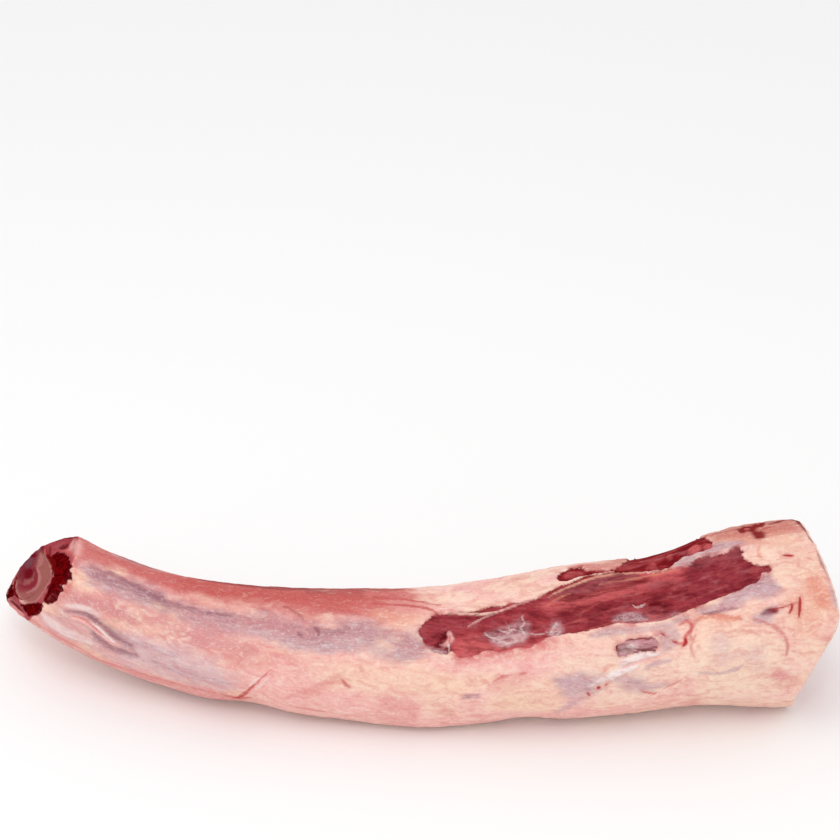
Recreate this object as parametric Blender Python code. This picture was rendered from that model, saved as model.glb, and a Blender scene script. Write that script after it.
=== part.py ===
# Whole raw oxtail, skinned and trimmed, cut through at both ends and lying on its underside.
# Metres, +Z up, +X towards the thick end, +Y away from the viewer, origin at the middle of the
# underside. Two pieces: the flesh (lean, fat and membrane in one) and the tail bones inside it,
# which show as a round disc at each cut.
import bpy
import bmesh
import math
import numpy as np
from mathutils import Vector

# The line through the middle of the tail, seen from above: a Bezier curve from tip to butt
HALF_SPINE = 0.200
SPINE_Y = (0.060, -0.015, 0.018, 0.038)
FRAME_SHIFT = (0.0195, -0.0358, 0.0)

# Half of the height at nine even stations from tip to butt
HALF_HEIGHT = (0.0253, 0.0268, 0.0293, 0.0310, 0.0322, 0.0361, 0.0375, 0.0430, 0.0437)
WIDTH_TO_HEIGHT = 1.05
TIP_SQUARENESS = 2.0
BUTT_SQUARENESS = 2.2
REST_DEPTH = 0.08
REST_BLEND = 0.0015

# The thin end curls up off the table
TIP_LIFT = 0.016
LIFT_STARTS_AT = -0.070

# The cuts: a point that each plane goes through and the way it faces
TIP_CUT_AT = -0.207
TIP_CUT_HEADING = math.radians(177)
TIP_CUT_TILT = math.radians(46)
BUTT_CUT_AT = 0.1737
BUTT_CUT_HEADING = math.radians(17)
BUTT_CUT_TILT = math.radians(-13)
TIP_ROUNDING = 0.0025
BUTT_ROUNDING = 0.003

# How far each rim runs past its plane, every 30 degrees from the viewer's side over the top
TIP_RIM = (-0.003, 0.0, 0.0, 0.001, 0.001, -0.002, -0.0015, 0.0, 0.0, 0.0015, 0.001, -0.006)
BUTT_RIM = (-0.009, -0.002, -0.0045, -0.0035, 0.002, 0.0, -0.002, 0.001, -0.001, 0.0, 0.002, -0.009)

# The bones: a rod of vertebrae, a little out of the middle at the thin end
BONE_TIP_RADIUS = 0.0135
BONE_BUTT_RADIUS = 0.0225
BONE_TIP_ASIDE = 0.003
BONE_TIP_DROP = 0.003
TIP_DISC_HEADING = math.radians(188)
TIP_DISC_TILT = math.radians(48)
TIP_DISC_PROUD = 0.0015
TIP_DISC_DOME = 0.0018
BUTT_DISC_PROUD = 0.0006
BUTT_DISC_DISH = -0.0012
LEAST_PROUD = 0.0004
GAP = 0.0003

# Relief of the cut meat
BUTT_SEAMS = 7
BUTT_SEAM_TURN = 0.6
BUTT_MUSCLE_BULGE = 0.0026
BUTT_SEAM_DEPTH = 0.0010
TIP_MEAT_SUNK = 0.0022

# Swellings and hollows of the outside: station, angle, half length, half width in degrees, height.
# Stations and lengths in millimetres, angles in degrees, 0 towards the viewer and 90 on top.
SWELLINGS = (
    (-91, -52, 16, 34, -3.0),
    (-12, -52, 32, 34, 3.2),
    (36, -50, 14, 30, -2.2),
    (120, -50, 22, 30, -2.6),
    (166, -50, 14, 30, 1.6),
    (72, 128, 26, 26, 1.4),
    (134, 126, 12, 26, 1.2),
    (-150, 95, 34, 22, 1.0),
    (-120, 20, 40, 22, 0.8),
    (30, 10, 34, 24, 1.2),
    (128, 20, 20, 25, 2.8),
    (150, 190, 30, 30, 1.5),
    (40, 215, 34, 30, -1.5),
    (-208, -48, 16, 28, -2.4),
    (-60, 200, 40, 30, 1.2),
)

# Long grooves where muscles meet under the silver skin, as points of station and angle
GROOVES = (
    (((-182, 78), (-150, 73), (-130, 60), (-103, 55), (-54, 50), (-10, 44)), 5.0, 1.5),
    (((-178, 26), (-160, 24), (-140, 6), (-118, 2)), 4.0, 1.0),
    (((-186, 120), (-150, 126), (-110, 140), (-50, 150), (-5, 156)), 5.0, 1.5),
    (((108, 30), (112, 44), (122, 49), (140, 38), (152, 28), (158, 10)), 3.5, 1.5),
    (((-40, 236), (30, 240), (110, 236)), 6.0, 1.4),
)

# Lean meat laid bare where fat and membrane are trimmed off: station, lower and upper angle
LEAN_WINDOWS = (
    (((-13, 44, 58), (-2, 35, 66), (12, 39, 72), (40, 45, 79), (62, 49, 91), (78, 52, 95),
      (95, 49, 91), (112, 52, 89), (124, 56, 92), (144, 62, 91), (154, 65, 68)), 1.3),
    (((8, 138, 142), (30, 120, 152), (55, 99, 158), (75, 105, 160), (100, 101, 162),
      (124, 100, 158), (134, 104, 150), (146, 126, 132)), 1.3),
)
WINDOW_EDGE = 2.5
GROOVE_FADE = 12

# Mesh fineness
SIDES = 40
LENGTHWAYS = 80
BORE_STEPS = 10
BORE_FROM = -0.176
BORE_TO = 0.150
FACE_STEPS = 4
RIM_STEPS = (0.0, 0.10, 0.32, 0.65)
DISC_STEPS = (0.0, 0.35, 0.7)
FARTHEST_STATION = 0.32
HALVINGS = 40
AXIS_STEP = 0.01
JOIN_WITHIN = 1e-6

# Plain colours and roughness of the two pieces
FLESH_COLOUR = (0.80, 0.45, 0.38, 1.0)
FLESH_ROUGHNESS = 0.4
BONE_COLOUR = (0.75, 0.50, 0.45, 1.0)
BONE_ROUGHNESS = 0.45


def clear_scene():
    for item in list(bpy.data.objects):
        bpy.data.objects.remove(item, do_unlink=True)


def through(values, fraction):
    """Smooth curve through evenly spaced values, read at 0 to 1 and held beyond the ends."""
    spot = min(max(fraction, 0.0), 1.0) * (len(values) - 1)
    i = min(int(spot), len(values) - 2)
    w = spot - i
    here, after = values[i], values[i + 1]
    before = values[i - 1] if i > 0 else here
    beyond = values[i + 2] if i + 2 < len(values) else after
    slope_in = (after - before) / 2
    slope_out = (beyond - here) / 2
    return (here * (2 * w**3 - 3 * w**2 + 1) + slope_in * (w**3 - 2 * w**2 + w)
            + after * (3 * w**2 - 2 * w**3) + slope_out * (w**3 - w**2))


def around(values, turn):
    """Smooth closed curve through evenly spaced values, read at a part of a full turn."""
    ring = len(values)
    spot = (turn % 1.0) * ring
    i = int(spot)
    near = [values[(i + k) % ring] for k in (-1, 0, 1, 2)]
    return through(near, (1 + spot - i) / 3)


def spine(x):
    """Middle line in plan at station x, and the unit vector across it towards the viewer."""
    t = x / (2 * HALF_SPINE) + 0.5
    a, b, c, d = SPINE_Y
    y = (1 - t)**3 * a + 3 * (1 - t)**2 * t * b + 3 * (1 - t) * t**2 * c + t**3 * d
    rise = 3 * (1 - t)**2 * (b - a) + 6 * (1 - t) * t * (c - b) + 3 * t**2 * (d - c)
    slope = rise / (2 * HALF_SPINE)
    across = Vector((slope, -1.0, 0.0)).normalized()
    return Vector((x, y, 0.0)), across


def lift(x):
    past = (LIFT_STARTS_AT - x) / (LIFT_STARTS_AT + HALF_SPINE)
    return TIP_LIFT * max(past, 0.0)**2


def rounded(value, squareness):
    return math.copysign(abs(value)**(2 / squareness), value)


def settled(z):
    """Heights near the table are squashed flat on to it, with a soft edge."""
    if z > REST_BLEND:
        return z
    if z < -REST_BLEND:
        return 0.0
    return (z + REST_BLEND)**2 / (4 * REST_BLEND)


def skin_point(x, angle, inset=0.0):
    """A point of the outside. Angle 0 faces the viewer and 90 degrees is the top."""
    middle, across = spine(x)
    fraction = x / (2 * HALF_SPINE) + 0.5
    half = through(HALF_HEIGHT, fraction)
    squareness = TIP_SQUARENESS + (BUTT_SQUARENESS - TIP_SQUARENESS) * min(max(fraction, 0), 1)
    out = forms(x, angle) - inset
    sideways = rounded(math.cos(angle), squareness) * (half * WIDTH_TO_HEIGHT + out)
    upward = rounded(math.sin(angle), squareness) * (half + out)
    height = settled(half * (1 - REST_DEPTH) + upward)
    return middle + across * sideways + Vector((0, 0, height + lift(x))) + Vector(FRAME_SHIFT)


def turn_between(angle, other):
    """Signed turn in degrees from one angle to another, the short way round."""
    return (angle - other + 180.0) % 360.0 - 180.0


def along_line(line, station):
    """Reads a line of (station, value, ...) points at a station, smoothly between the points."""
    for before, after in zip(line, line[1:]):
        if station <= after[0]:
            w = (station - before[0]) / (after[0] - before[0])
            w = w * w * (3 - 2 * w)
            return [p + (q - p) * w for p, q in zip(before[1:], after[1:])]
    return list(line[-1][1:])


def soft_step(value, width):
    w = min(max(value / width + 0.5, 0.0), 1.0)
    return w * w * (3 - 2 * w)


def forms(x, angle):
    """How far the surface stands out from the plain section, in metres."""
    station = x * 1000
    degrees = math.degrees(angle)
    girth = math.radians(1) * through(HALF_HEIGHT, x / (2 * HALF_SPINE) + 0.5) * 1000
    height = 0.0
    for middle, at, half_length, half_width, swell in SWELLINGS:
        off = (station - middle) / half_length
        turn = turn_between(degrees, at) / half_width
        height += swell * math.exp(-off * off - turn * turn)
    for line, half_width, depth in GROOVES:
        ends = (soft_step(station - line[0][0], GROOVE_FADE)
                * soft_step(line[-1][0] - station, GROOVE_FADE))
        aside = turn_between(degrees, along_line(line, max(station, line[0][0]))[0]) * girth
        height -= depth * ends * math.exp(-(aside / half_width)**2)
    for line, depth in LEAN_WINDOWS:
        low, high = along_line(line, max(station, line[0][0]))
        middle = (low + high) / 2
        inside = ((high - low) / 2 - abs(turn_between(degrees, middle))) * girth
        ends = min(station - line[0][0], line[-1][0] - station)
        height -= depth * soft_step(min(inside, ends), WINDOW_EDGE)
    return height / 1000


def bone_point(x, angle, spare=0.0):
    middle, across = spine(x)
    fraction = min(max(x / (2 * HALF_SPINE) + 0.5, 0), 1)
    half = through(HALF_HEIGHT, fraction)
    radius = BONE_TIP_RADIUS + (BONE_BUTT_RADIUS - BONE_TIP_RADIUS) * fraction + spare
    drift = (1 - fraction)**3
    sideways = BONE_TIP_ASIDE * drift + radius * math.cos(angle)
    height = half * (1 - REST_DEPTH / 2) + lift(x) - BONE_TIP_DROP * drift
    upward = height + radius * math.sin(angle)
    return middle + across * sideways + Vector((0, 0, upward)) + Vector(FRAME_SHIFT)


def direction(heading, tilt):
    level = math.cos(tilt)
    return Vector((math.cos(heading) * level, math.sin(heading) * level, math.sin(tilt)))


def cut_plane(at, heading, tilt):
    facing = direction(heading, tilt)
    middle = (skin_point(at, 0.0) + skin_point(at, math.pi)) / 2
    return middle, facing


def reach(line, plane, towards):
    """Station at which a lengthways line of the tail meets a cut plane, by halving."""
    point, facing = plane
    near, far = 0.0, towards * FARTHEST_STATION
    for _ in range(HALVINGS):
        half = (near + far) / 2
        if (line(half) - point).dot(facing) < 0:
            near = half
        else:
            far = half
    return near


def bore_stations(angle, tip, butt):
    """Stations of one line of the bore: both ends on the cuts, and shared ones between."""
    first = reach(lambda x: bone_point(x, angle, GAP), tip, -1)
    last = reach(lambda x: bone_point(x, angle, GAP), butt, 1)
    between = [BORE_FROM + (BORE_TO - BORE_FROM) * k / BORE_STEPS for k in range(BORE_STEPS + 1)]
    return [first] + between + [last]


def outside_line(angle, tip, butt):
    """The lengthways line at an angle, with the rims rounded in at both cuts."""
    turn = angle / (2 * math.pi)
    first = reach(lambda x: skin_point(x, angle), tip, -1) - around(TIP_RIM, turn)
    last = reach(lambda x: skin_point(x, angle), butt, 1) + around(BUTT_RIM, turn)
    points = [rim_point(first, angle, step, TIP_ROUNDING, 1) for step in RIM_STEPS]
    inner_first = first + TIP_ROUNDING
    inner_last = last - BUTT_ROUNDING
    for k in range(LENGTHWAYS + 1):
        points.append(skin_point(inner_first + (inner_last - inner_first) * k / LENGTHWAYS, angle))
    points += [rim_point(last, angle, step, BUTT_ROUNDING, -1) for step in reversed(RIM_STEPS)]
    return points


def rim_point(end, angle, step, rounding, inwards):
    """A point of a quarter-round rim, step 0 on the cut and 1 back on the full section."""
    inset = rounding * (1 - math.sqrt(1 - (1 - step)**2))
    return skin_point(end + inwards * rounding * step, angle, inset)


def rolled_sheet(name, columns, closed):
    """A grid primitive rolled into a body: one column of points for each angle round the tail.
    A closed column comes back to its own start, an open one ends at a pole."""
    rows = len(columns[0])
    count = len(columns)
    steps = rows if closed else rows - 1
    bm = bmesh.new()
    bmesh.ops.create_grid(bm, x_segments=steps, y_segments=count, size=0.5)
    for v in bm.verts:
        row = round((v.co.x + 0.5) * steps) % rows
        column = round((v.co.y + 0.5) * count) % count
        v.co = columns[column][row]
    bmesh.ops.remove_doubles(bm, verts=bm.verts, dist=JOIN_WITHIN)
    bmesh.ops.recalc_face_normals(bm, faces=bm.faces)
    mesh = bpy.data.meshes.new(name)
    bm.to_mesh(mesh)
    bm.free()
    mesh.shade_smooth()
    body = bpy.data.objects.new(name, mesh)
    bpy.context.collection.objects.link(body)
    return body


def build_flesh(tip, butt):
    tip_inwards = along_axis(TIP_CUT_AT)
    butt_outwards = along_axis(BUTT_CUT_AT)
    columns = []
    for k in range(SIDES):
        angle = 2 * math.pi * k / SIDES
        outer = outside_line(angle, tip, butt)
        bore = [bone_point(x, angle, GAP) for x in reversed(bore_stations(angle, tip, butt))]
        butt_face = face_points(outer[-1], bore[0], lambda f: butt_outwards * butt_relief(f, angle))
        tip_face = face_points(bore[-1], outer[0], lambda f: tip_inwards * tip_relief(f))
        columns.append(outer + butt_face + bore + tip_face)
    return rolled_sheet("oxtail_flesh", columns, True)


def face_points(start, end, relief):
    """Points across a cut face between two rims, moved by the relief of the cut meat."""
    fractions = [k / FACE_STEPS for k in range(1, FACE_STEPS)]
    return [start.lerp(end, f) + relief(f) for f in fractions]


def butt_relief(f, angle):
    """Cut muscles stand out a little between the seams that run from bone to rim."""
    seam = abs(math.sin(BUTT_SEAMS * angle / 2 + BUTT_SEAM_TURN))
    return math.sin(math.pi * f) * (BUTT_MUSCLE_BULGE * seam - BUTT_SEAM_DEPTH)


def tip_relief(f):
    """Meat round the last disc has shrunk back behind its skin."""
    return TIP_MEAT_SUNK * math.sin(math.pi * f)


def bone_axis(x):
    return (bone_point(x, 0.0) + bone_point(x, math.pi)) / 2


def along_axis(x):
    """Unit vector along the bones at station x, towards the butt."""
    return (bone_axis(x + AXIS_STEP) - bone_axis(x - AXIS_STEP)).normalized()


def disc_plane(plane, heading, tilt, towards, proud):
    """Plane of the bone's end: through the axis where the flesh is cut, and then a little proud."""
    facing = direction(heading, tilt)
    middle = bone_axis(reach(bone_axis, plane, towards))
    return middle + facing * proud, facing


def build_bone(tip, butt):
    tip_disc = disc_plane(tip, TIP_DISC_HEADING, TIP_DISC_TILT, -1, TIP_DISC_PROUD)
    butt_disc = disc_plane(butt, BUTT_CUT_HEADING, BUTT_CUT_TILT, 1, BUTT_DISC_PROUD)
    columns = []
    for k in range(SIDES):
        angle = 2 * math.pi * k / SIDES
        line = bore_stations(angle, tip, butt)
        first = min(reach(lambda x: bone_point(x, angle), tip_disc, -1), line[0] - LEAST_PROUD)
        last = max(reach(lambda x: bone_point(x, angle), butt_disc, 1), line[-1] + LEAST_PROUD)
        rod = [bone_point(x, angle) for x in [first] + line + [last]]
        tip_cap = disc_points(rod[0], tip_disc, TIP_DISC_DOME)
        butt_cap = disc_points(rod[-1], butt_disc, BUTT_DISC_DISH)
        columns.append(tip_cap + rod + list(reversed(butt_cap)))
    return rolled_sheet("oxtail_bone", columns, False)


def disc_points(rim, disc, height):
    """Points from the middle of a bone's end out towards its rim, domed or dished."""
    middle, facing = disc
    return [middle.lerp(rim, f) + facing * height * (1 - f**2) for f in DISC_STEPS]


def finish(body, name, colour, roughness):
    material = bpy.data.materials.new(name)
    material.use_nodes = True
    shader = material.node_tree.nodes["Principled BSDF"]
    shader.inputs["Base Color"].default_value = colour
    shader.inputs["Roughness"].default_value = roughness
    shader.inputs["Metallic"].default_value = 0.0
    body.data.materials.append(material)


def build():
    clear_scene()
    tip = cut_plane(TIP_CUT_AT, TIP_CUT_HEADING, TIP_CUT_TILT)
    butt = cut_plane(BUTT_CUT_AT, BUTT_CUT_HEADING, BUTT_CUT_TILT)
    flesh = build_flesh(tip, butt)
    bone = build_bone(tip, butt)
    finish(flesh, "raw_flesh", FLESH_COLOUR, FLESH_ROUGHNESS)
    finish(bone, "raw_bone", BONE_COLOUR, BONE_ROUGHNESS)


build()
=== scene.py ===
import bpy
import numpy as np
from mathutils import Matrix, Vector, noise
from mathutils.bvhtree import BVHTree


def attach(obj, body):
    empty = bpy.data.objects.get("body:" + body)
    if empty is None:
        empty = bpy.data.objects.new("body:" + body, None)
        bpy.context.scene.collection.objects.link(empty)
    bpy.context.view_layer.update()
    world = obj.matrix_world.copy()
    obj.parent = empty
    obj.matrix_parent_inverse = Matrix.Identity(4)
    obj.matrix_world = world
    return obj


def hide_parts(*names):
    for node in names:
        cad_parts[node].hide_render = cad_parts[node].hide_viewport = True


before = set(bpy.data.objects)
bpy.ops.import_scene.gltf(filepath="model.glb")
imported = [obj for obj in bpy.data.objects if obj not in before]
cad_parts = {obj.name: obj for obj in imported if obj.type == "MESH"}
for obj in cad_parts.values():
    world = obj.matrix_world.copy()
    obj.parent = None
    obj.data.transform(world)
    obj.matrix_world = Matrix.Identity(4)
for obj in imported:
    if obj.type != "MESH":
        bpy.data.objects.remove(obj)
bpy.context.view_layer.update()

# the middle line and the sections of the tail, in metres, as the CAD part has them
tail = {
    "halfSpine": 0.200,
    "spineY": (0.060, -0.015, 0.018, 0.038),
    "shift": (0.0195, -0.0358),
    "halfHeight": (0.0253, 0.0268, 0.0293, 0.0310, 0.0322, 0.0361, 0.0375, 0.0430, 0.0437),
    "widthToHeight": 1.05,
    "squareness": (2.0, 2.2),
    "restDepth": 0.08,
    "tipLift": 0.016,
    "liftStartsAt": -0.070,
    "backRidge": 98.0,  # degrees: the tail's own back, and so its mirror plane
    "topEdge": 128.0,  # degrees: the last of the back that the photograph shows
}

# the camera of the photograph, whose pixels place the marks below
shot = {
    "lens": 85.0,
    "sensor": 36.0,
    "picture": 840,
    "looksDown": 32.0,
    "distance": 1.2207,
    "lookAt": (0.0070, 0.2421, 0.0),
}

# paints, named for the finish that they stand for; one also stands for painted glints
paints = {
    "creamFat": "F6CDBC",
    "butterFat": "F4CEB4",
    "pinkFat": "F2BAB4",
    "peachFat": "ECAE96",
    "paleFat": "F6D8C4",
    "rosyFat": "DE9290",
    "salmon": "C8605E",
    "redMembrane": "BC4B48",
    "brownMembrane": "9E4A48",
    "topBrown": "C87466",
    "darkEdge": "741A22",
    "silverSkin": "B88188",
    "lilacSkin": "CDA5AB",
    "paleSilver": "C69EA2",
    # white of tendons and silver-skin fibres, also laid on as painted glints of the wet surface
    "whiteTissueAndPaintedGlint": "F8E6E2",
    "purple": "8A5463",
    "deepPurple": "6E323F",
    "orangePink": "E2937A",
    "paleLilac": "E4C4C4",
    "duskyPink": "C98688",
    "cutFat": "F0A698",
    "veinPink": "CE6460",
    "mauve": "CE9A9E",
    "lean": "9A363E",
    "leanRight": "8E303B",
    "leanLeft": "9A3A43",
    "leanRed": "D46466",
    "leanPurple": "91454C",
    "leanDark": "66121C",
    "stripRed": "82181F",
    "tipMeat": "6E0609",
    "tipMeatDeep": "4A0206",
    "blood": "AC2026",
    "flap": "A24048",
    "cutPink": "AC545A",
    "cutLean": "BE3C42",
    "cutLeanDark": "A63440",
    "cutLeanPale": "CC5256",
    "discTan": "9E5C58",
    "discPurple": "782432",
    "discGrey": "75434D",
    "discRed": "6A0816",
    "discMaroon": "862634",
    "discPale": "BC7F7A",
    "discPink": "F2B8B0",
    "discWhite": "F8D4CA",
}


def linearColour(code):  # sRGB hex to linear RGBA
    parts = [int(code[i:i + 2], 16) / 255 for i in (0, 2, 4)]
    return [c / 12.92 if c <= 0.04045 else ((c + 0.055) / 1.055) ** 2.4 for c in parts] + [1.0]


linear = {name: np.array(linearColour(code)) for name, code in paints.items()}


def layPaint(tint, name, cover):  # cover is 0 to 1 for each point
    tint += (linear[name] - tint) * cover[:, None]


def blended(first, second, share):  # from the first paint to the second
    return linear[first] * (1 - share)[:, None] + linear[second] * share[:, None]


def addNode(tree, kind, inputs=None, **settings):  # an input is a value, a socket or a node
    node = tree.nodes.new(kind)
    for name, value in settings.items():
        setattr(node, name, value)
    for socket, value in (inputs or {}).items():
        if isinstance(value, bpy.types.Node):
            value = value.outputs[0]
        if isinstance(value, bpy.types.NodeSocket):
            tree.links.new(value, node.inputs[socket])
        else:
            node.inputs[socket].default_value = value
    return node


def smooth(value, low, high):
    w = np.clip((value - low) / (high - low), 0, 1)
    return w * w * (3 - 2 * w)


def readCurve(values, fraction):  # a smooth curve through even stations, 0 to 1
    v = np.array(values)
    spot = np.clip(fraction, 0, 1) * (len(v) - 1)
    i = np.minimum(spot.astype(int), len(v) - 2)
    w = spot - i
    here, after = v[i], v[i + 1]
    before = np.where(i > 0, v[np.maximum(i - 1, 0)], here)
    beyond = np.where(i + 2 < len(v), v[np.minimum(i + 2, len(v) - 1)], after)
    return (here * (2 * w**3 - 3 * w**2 + 1) + (after - before) / 2 * (w**3 - 2 * w**2 + w)
            + after * (3 * w**2 - 2 * w**3) + (beyond - here) / 2 * (w**3 - w**2))


def spineAt(s):
    t = s / (2 * tail["halfSpine"]) + 0.5
    a, b, c, d = tail["spineY"]
    y = (1 - t)**3 * a + 3 * (1 - t)**2 * t * b + 3 * (1 - t) * t**2 * c + t**3 * d
    rise = 3 * (1 - t)**2 * (b - a) + 6 * (1 - t) * t * (c - b) + 3 * t**2 * (d - c)
    return y, rise / (2 * tail["halfSpine"])


def unroll(points):  # points in metres to the tail's own coordinates, in mm and degrees
    x = points[:, 0] - tail["shift"][0]
    y = points[:, 1] - tail["shift"][1]
    s = x.copy()
    for _ in range(10):  # steps towards the nearest place on the middle line
        middle, slope = spineAt(s)
        s += ((x - s) + (y - middle) * slope) / (1 + slope**2)
    middle, slope = spineAt(s)
    stretch = np.sqrt(1 + slope**2)
    fraction = s / (2 * tail["halfSpine"]) + 0.5
    half = readCurve(tail["halfHeight"], fraction)
    reach = tail["liftStartsAt"] + tail["halfSpine"]
    past = np.maximum((tail["liftStartsAt"] - s) / reach, 0)
    side = ((x - s) * slope - (y - middle)) / stretch
    up = points[:, 2] - tail["tipLift"] * past**2 - half * (1 - tail["restDepth"])
    low, high = tail["squareness"]
    power = (low + (high - low) * np.clip(fraction, 0, 1)) / 2
    a = side / (half * tail["widthToHeight"])
    b = up / half
    angle = np.degrees(np.arctan2(np.sign(b) * np.abs(b)**power, np.sign(a) * np.abs(a)**power))
    axis = np.stack((np.ones(len(s)), slope, -2 * tail["tipLift"] * past / reach), 1)
    return {"station": s * 1000, "angle": angle, "half": half * 1000, "stretch": stretch,
            "girth": np.radians(half * 1000), "side": side * 1000, "up": up * 1000,
            "axis": axis / np.linalg.norm(axis, axis=1)[:, None]}


def turnBetween(angle, other):
    return (angle - other + 180) % 360 - 180


# The camera of the photograph
tilt = np.radians(shot["looksDown"])
forward = np.array((0, np.cos(tilt), -np.sin(tilt)))
upward = np.array((0, np.sin(tilt), np.cos(tilt)))
eye = np.array(shot["lookAt"]) - shot["distance"] * forward
focal = shot["lens"] / shot["sensor"] * shot["picture"]
shot["mmPerPixel"] = 1000 * np.linalg.norm(eye) / focal
bpy.ops.object.camera_add(location=eye, rotation=(np.pi / 2 - tilt, 0, 0))
camera = bpy.context.object
camera.name = "photoCamera"
camera.data.lens = shot["lens"]
camera.data.sensor_width = shot["sensor"]
bpy.context.scene.camera = camera

# Places on the tail, picked by photo pixel
skinPoints = []
skinFaces = []
for node in ("oxtail_flesh", "oxtail_bone"):
    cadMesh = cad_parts[node].data
    start = len(skinPoints)
    skinPoints += [v.co[:] for v in cadMesh.vertices]
    skinFaces += [[start + i for i in p.vertices] for p in cadMesh.polygons]
sightTree = BVHTree.FromPolygons(skinPoints, skinFaces)
skinPoints = np.array(skinPoints)


def sight(pixel):  # where the line of sight through a photo pixel meets the tail, in metres
    middle = shot["picture"] / 2
    line = forward + np.array((1, 0, 0)) * (pixel[0] - middle) / focal
    line = line - upward * (pixel[1] - middle) / focal
    line = line / np.linalg.norm(line)
    hit = sightTree.ray_cast(Vector(eye), Vector(line))[0]
    if hit is not None:
        return np.array(hit), 0.0
    away = skinPoints - eye
    gap = np.linalg.norm(away - np.outer(away @ line, line), axis=1)
    return skinPoints[gap.argmin()], 1000 * gap.min()


def softened(points, closed):  # rounds the corners between the picked points
    points = [np.array(p, float) for p in points]
    count = len(points)
    out = []
    for i in range(count if closed else count - 1):
        near = [(i + k) % count if closed else min(max(i + k, 0), count - 1) for k in (-1, 0, 1, 2)]
        a, b, c, d = (points[k] for k in near)
        for w in (0.0, 0.33, 0.67):  # the pick itself and two points on the way to the next
            out.append(0.5 * (2 * b + (c - a) * w + (2 * a - 5 * b + 4 * c - d) * w**2
                              + (3 * b - a - 3 * c + d) * w**3))
    if not closed:
        out.append(points[-1])
    return out


def onSkin(pixels, closed=False):  # picked places as (station, angle) on the outside
    hits, misses = zip(*[sight(p) for p in softened(pixels, closed)])
    found = unroll(np.array(hits))
    # a pick beyond the picture's edge of the tail lies as far round that edge, on the far side
    edgesPart = 40  # degrees: above it the upper edge was missed, below it the lower one
    past = np.array(misses) / found["girth"] * np.where(found["angle"] > edgesPart, 1, -1)
    return list(zip(found["station"], found["angle"] + past))


def inPicture(pixels, closed):  # picked places as mm across the picture, for the tip
    return [tuple(p * shot["mmPerPixel"]) for p in softened(pixels, closed)]


def pictured(points, normals):  # the same mm for points of a mesh, and how far each faces the eye
    away = points - eye
    depth = away @ forward
    across = shot["picture"] / 2 + focal * away[:, 0] / depth
    down = shot["picture"] / 2 - focal * (away @ upward) / depth
    one = np.ones(len(points))
    faces = -(away * normals).sum(1) / np.linalg.norm(away, axis=1)
    return {"station": across * shot["mmPerPixel"], "angle": down * shot["mmPerPixel"],
            "stretch": one, "girth": one, "faces": faces}


# Distances from marks: a mark's own points are (station, angle), the answers are in mm
nowhere = -1e3  # stands for far outside


def insideStroke(place, line, closed, size=0.0):  # mm inside a stroke that tapers off
    best = np.full(len(place["station"]), nowhere)
    ends = line[1:] + line[:1] if closed else line[1:]
    for i, (p, q) in enumerate(zip(line, ends)):
        middle = (p[1] + q[1]) / 2
        base = turnBetween(middle, place["angle"])
        ax = (p[0] - place["station"]) * place["stretch"]
        ay = (base + p[1] - middle) * place["girth"]
        dx = (q[0] - place["station"]) * place["stretch"] - ax
        dy = (base + q[1] - middle) * place["girth"] - ay
        t = np.clip(-(ax * dx + ay * dy) / (dx * dx + dy * dy + 1e-9), 0, 1)
        half = size * np.sqrt(np.sin(np.pi * (0.06 + 0.88 * (i + t) / len(ends))))
        best = np.maximum(best, half - np.hypot(ax + t * dx, ay + t * dy))
    return best


def insideOutline(place, line):  # mm inside an outline, negative outside
    centre = np.mean([p[1] for p in line])
    angle = turnBetween(place["angle"], centre) + centre
    inside = np.zeros(len(angle), bool)
    for p, q in zip(line, line[1:] + line[:1]):
        crosses = (p[1] > angle) != (q[1] > angle)
        at = p[0] + (angle - p[1]) / (q[1] - p[1] + 1e-9) * (q[0] - p[0])
        inside ^= crosses & (place["station"] < at)
    gap = -insideStroke(place, line, True)
    return np.where(inside, gap, -gap)


def measured(place, line, closed, size=0.0):  # mm inside an outline or a stroke
    margin = 14  # mm along the tail, farther than any mark reaches
    stations = [p[0] for p in line]
    keep = (place["station"] > min(stations) - margin) & (place["station"] < max(stations) + margin)
    out = np.full(len(keep), nowhere)
    part = {name: value[keep] for name, value in place.items()}
    out[keep] = insideOutline(part, line) if closed else insideStroke(part, line, False, size)
    return out


def mirrored(line):  # the same line on the far side of the tail's back
    return [(s, 2 * tail["backRidge"] - a) for s, a in line]


def noiseAt(points, grain, stretchAlong=1.0, offset=0.0):
    scaled = points / np.array((grain * stretchAlong, grain, grain)) + offset
    return np.array([noise.noise(Vector(p)) for p in scaled])


def lumpsAt(points, grain, stretchAlong):  # 1 on top of a lobule, 0 in the gaps between
    scaled = points / np.array((grain * stretchAlong, grain, grain))
    return 1 - np.array([noise.voronoi(Vector(p))[0][0] for p in scaled])


rimSharpness = 40  # degrees between two faces that meet in the rim of a cut


def fineCopy(node, name, levels):
    bpy.ops.object.select_all(action="DESELECT")
    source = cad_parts[node]
    source.select_set(True)
    bpy.context.view_layer.objects.active = source
    bpy.ops.object.duplicate()
    piece = bpy.context.object
    piece.name = name
    piece.parent = None
    for key in list(piece.keys()):
        del piece[key]
    piece.data.materials.clear()
    bpy.ops.object.mode_set(mode="EDIT")
    bpy.ops.mesh.select_all(action="SELECT")
    bpy.ops.mesh.remove_doubles(threshold=1e-6)
    bpy.ops.mesh.tris_convert_to_quads(face_threshold=np.pi, shape_threshold=np.pi)
    # the rims of the cuts stay crisp
    bpy.ops.mesh.select_mode(type="EDGE")
    bpy.ops.mesh.select_all(action="DESELECT")
    bpy.ops.mesh.edges_select_sharp(sharpness=np.radians(rimSharpness))
    bpy.ops.transform.edge_crease(value=1.0)
    bpy.ops.object.mode_set(mode="OBJECT")
    for layer in list(piece.data.uv_layers):
        piece.data.uv_layers.remove(layer)
    subsurf = piece.modifiers.new("finer", "SUBSURF")
    subsurf.levels = levels
    subsurf.render_levels = levels
    bpy.ops.object.modifier_apply(modifier="finer")
    bpy.ops.object.shade_smooth()
    return piece


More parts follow.
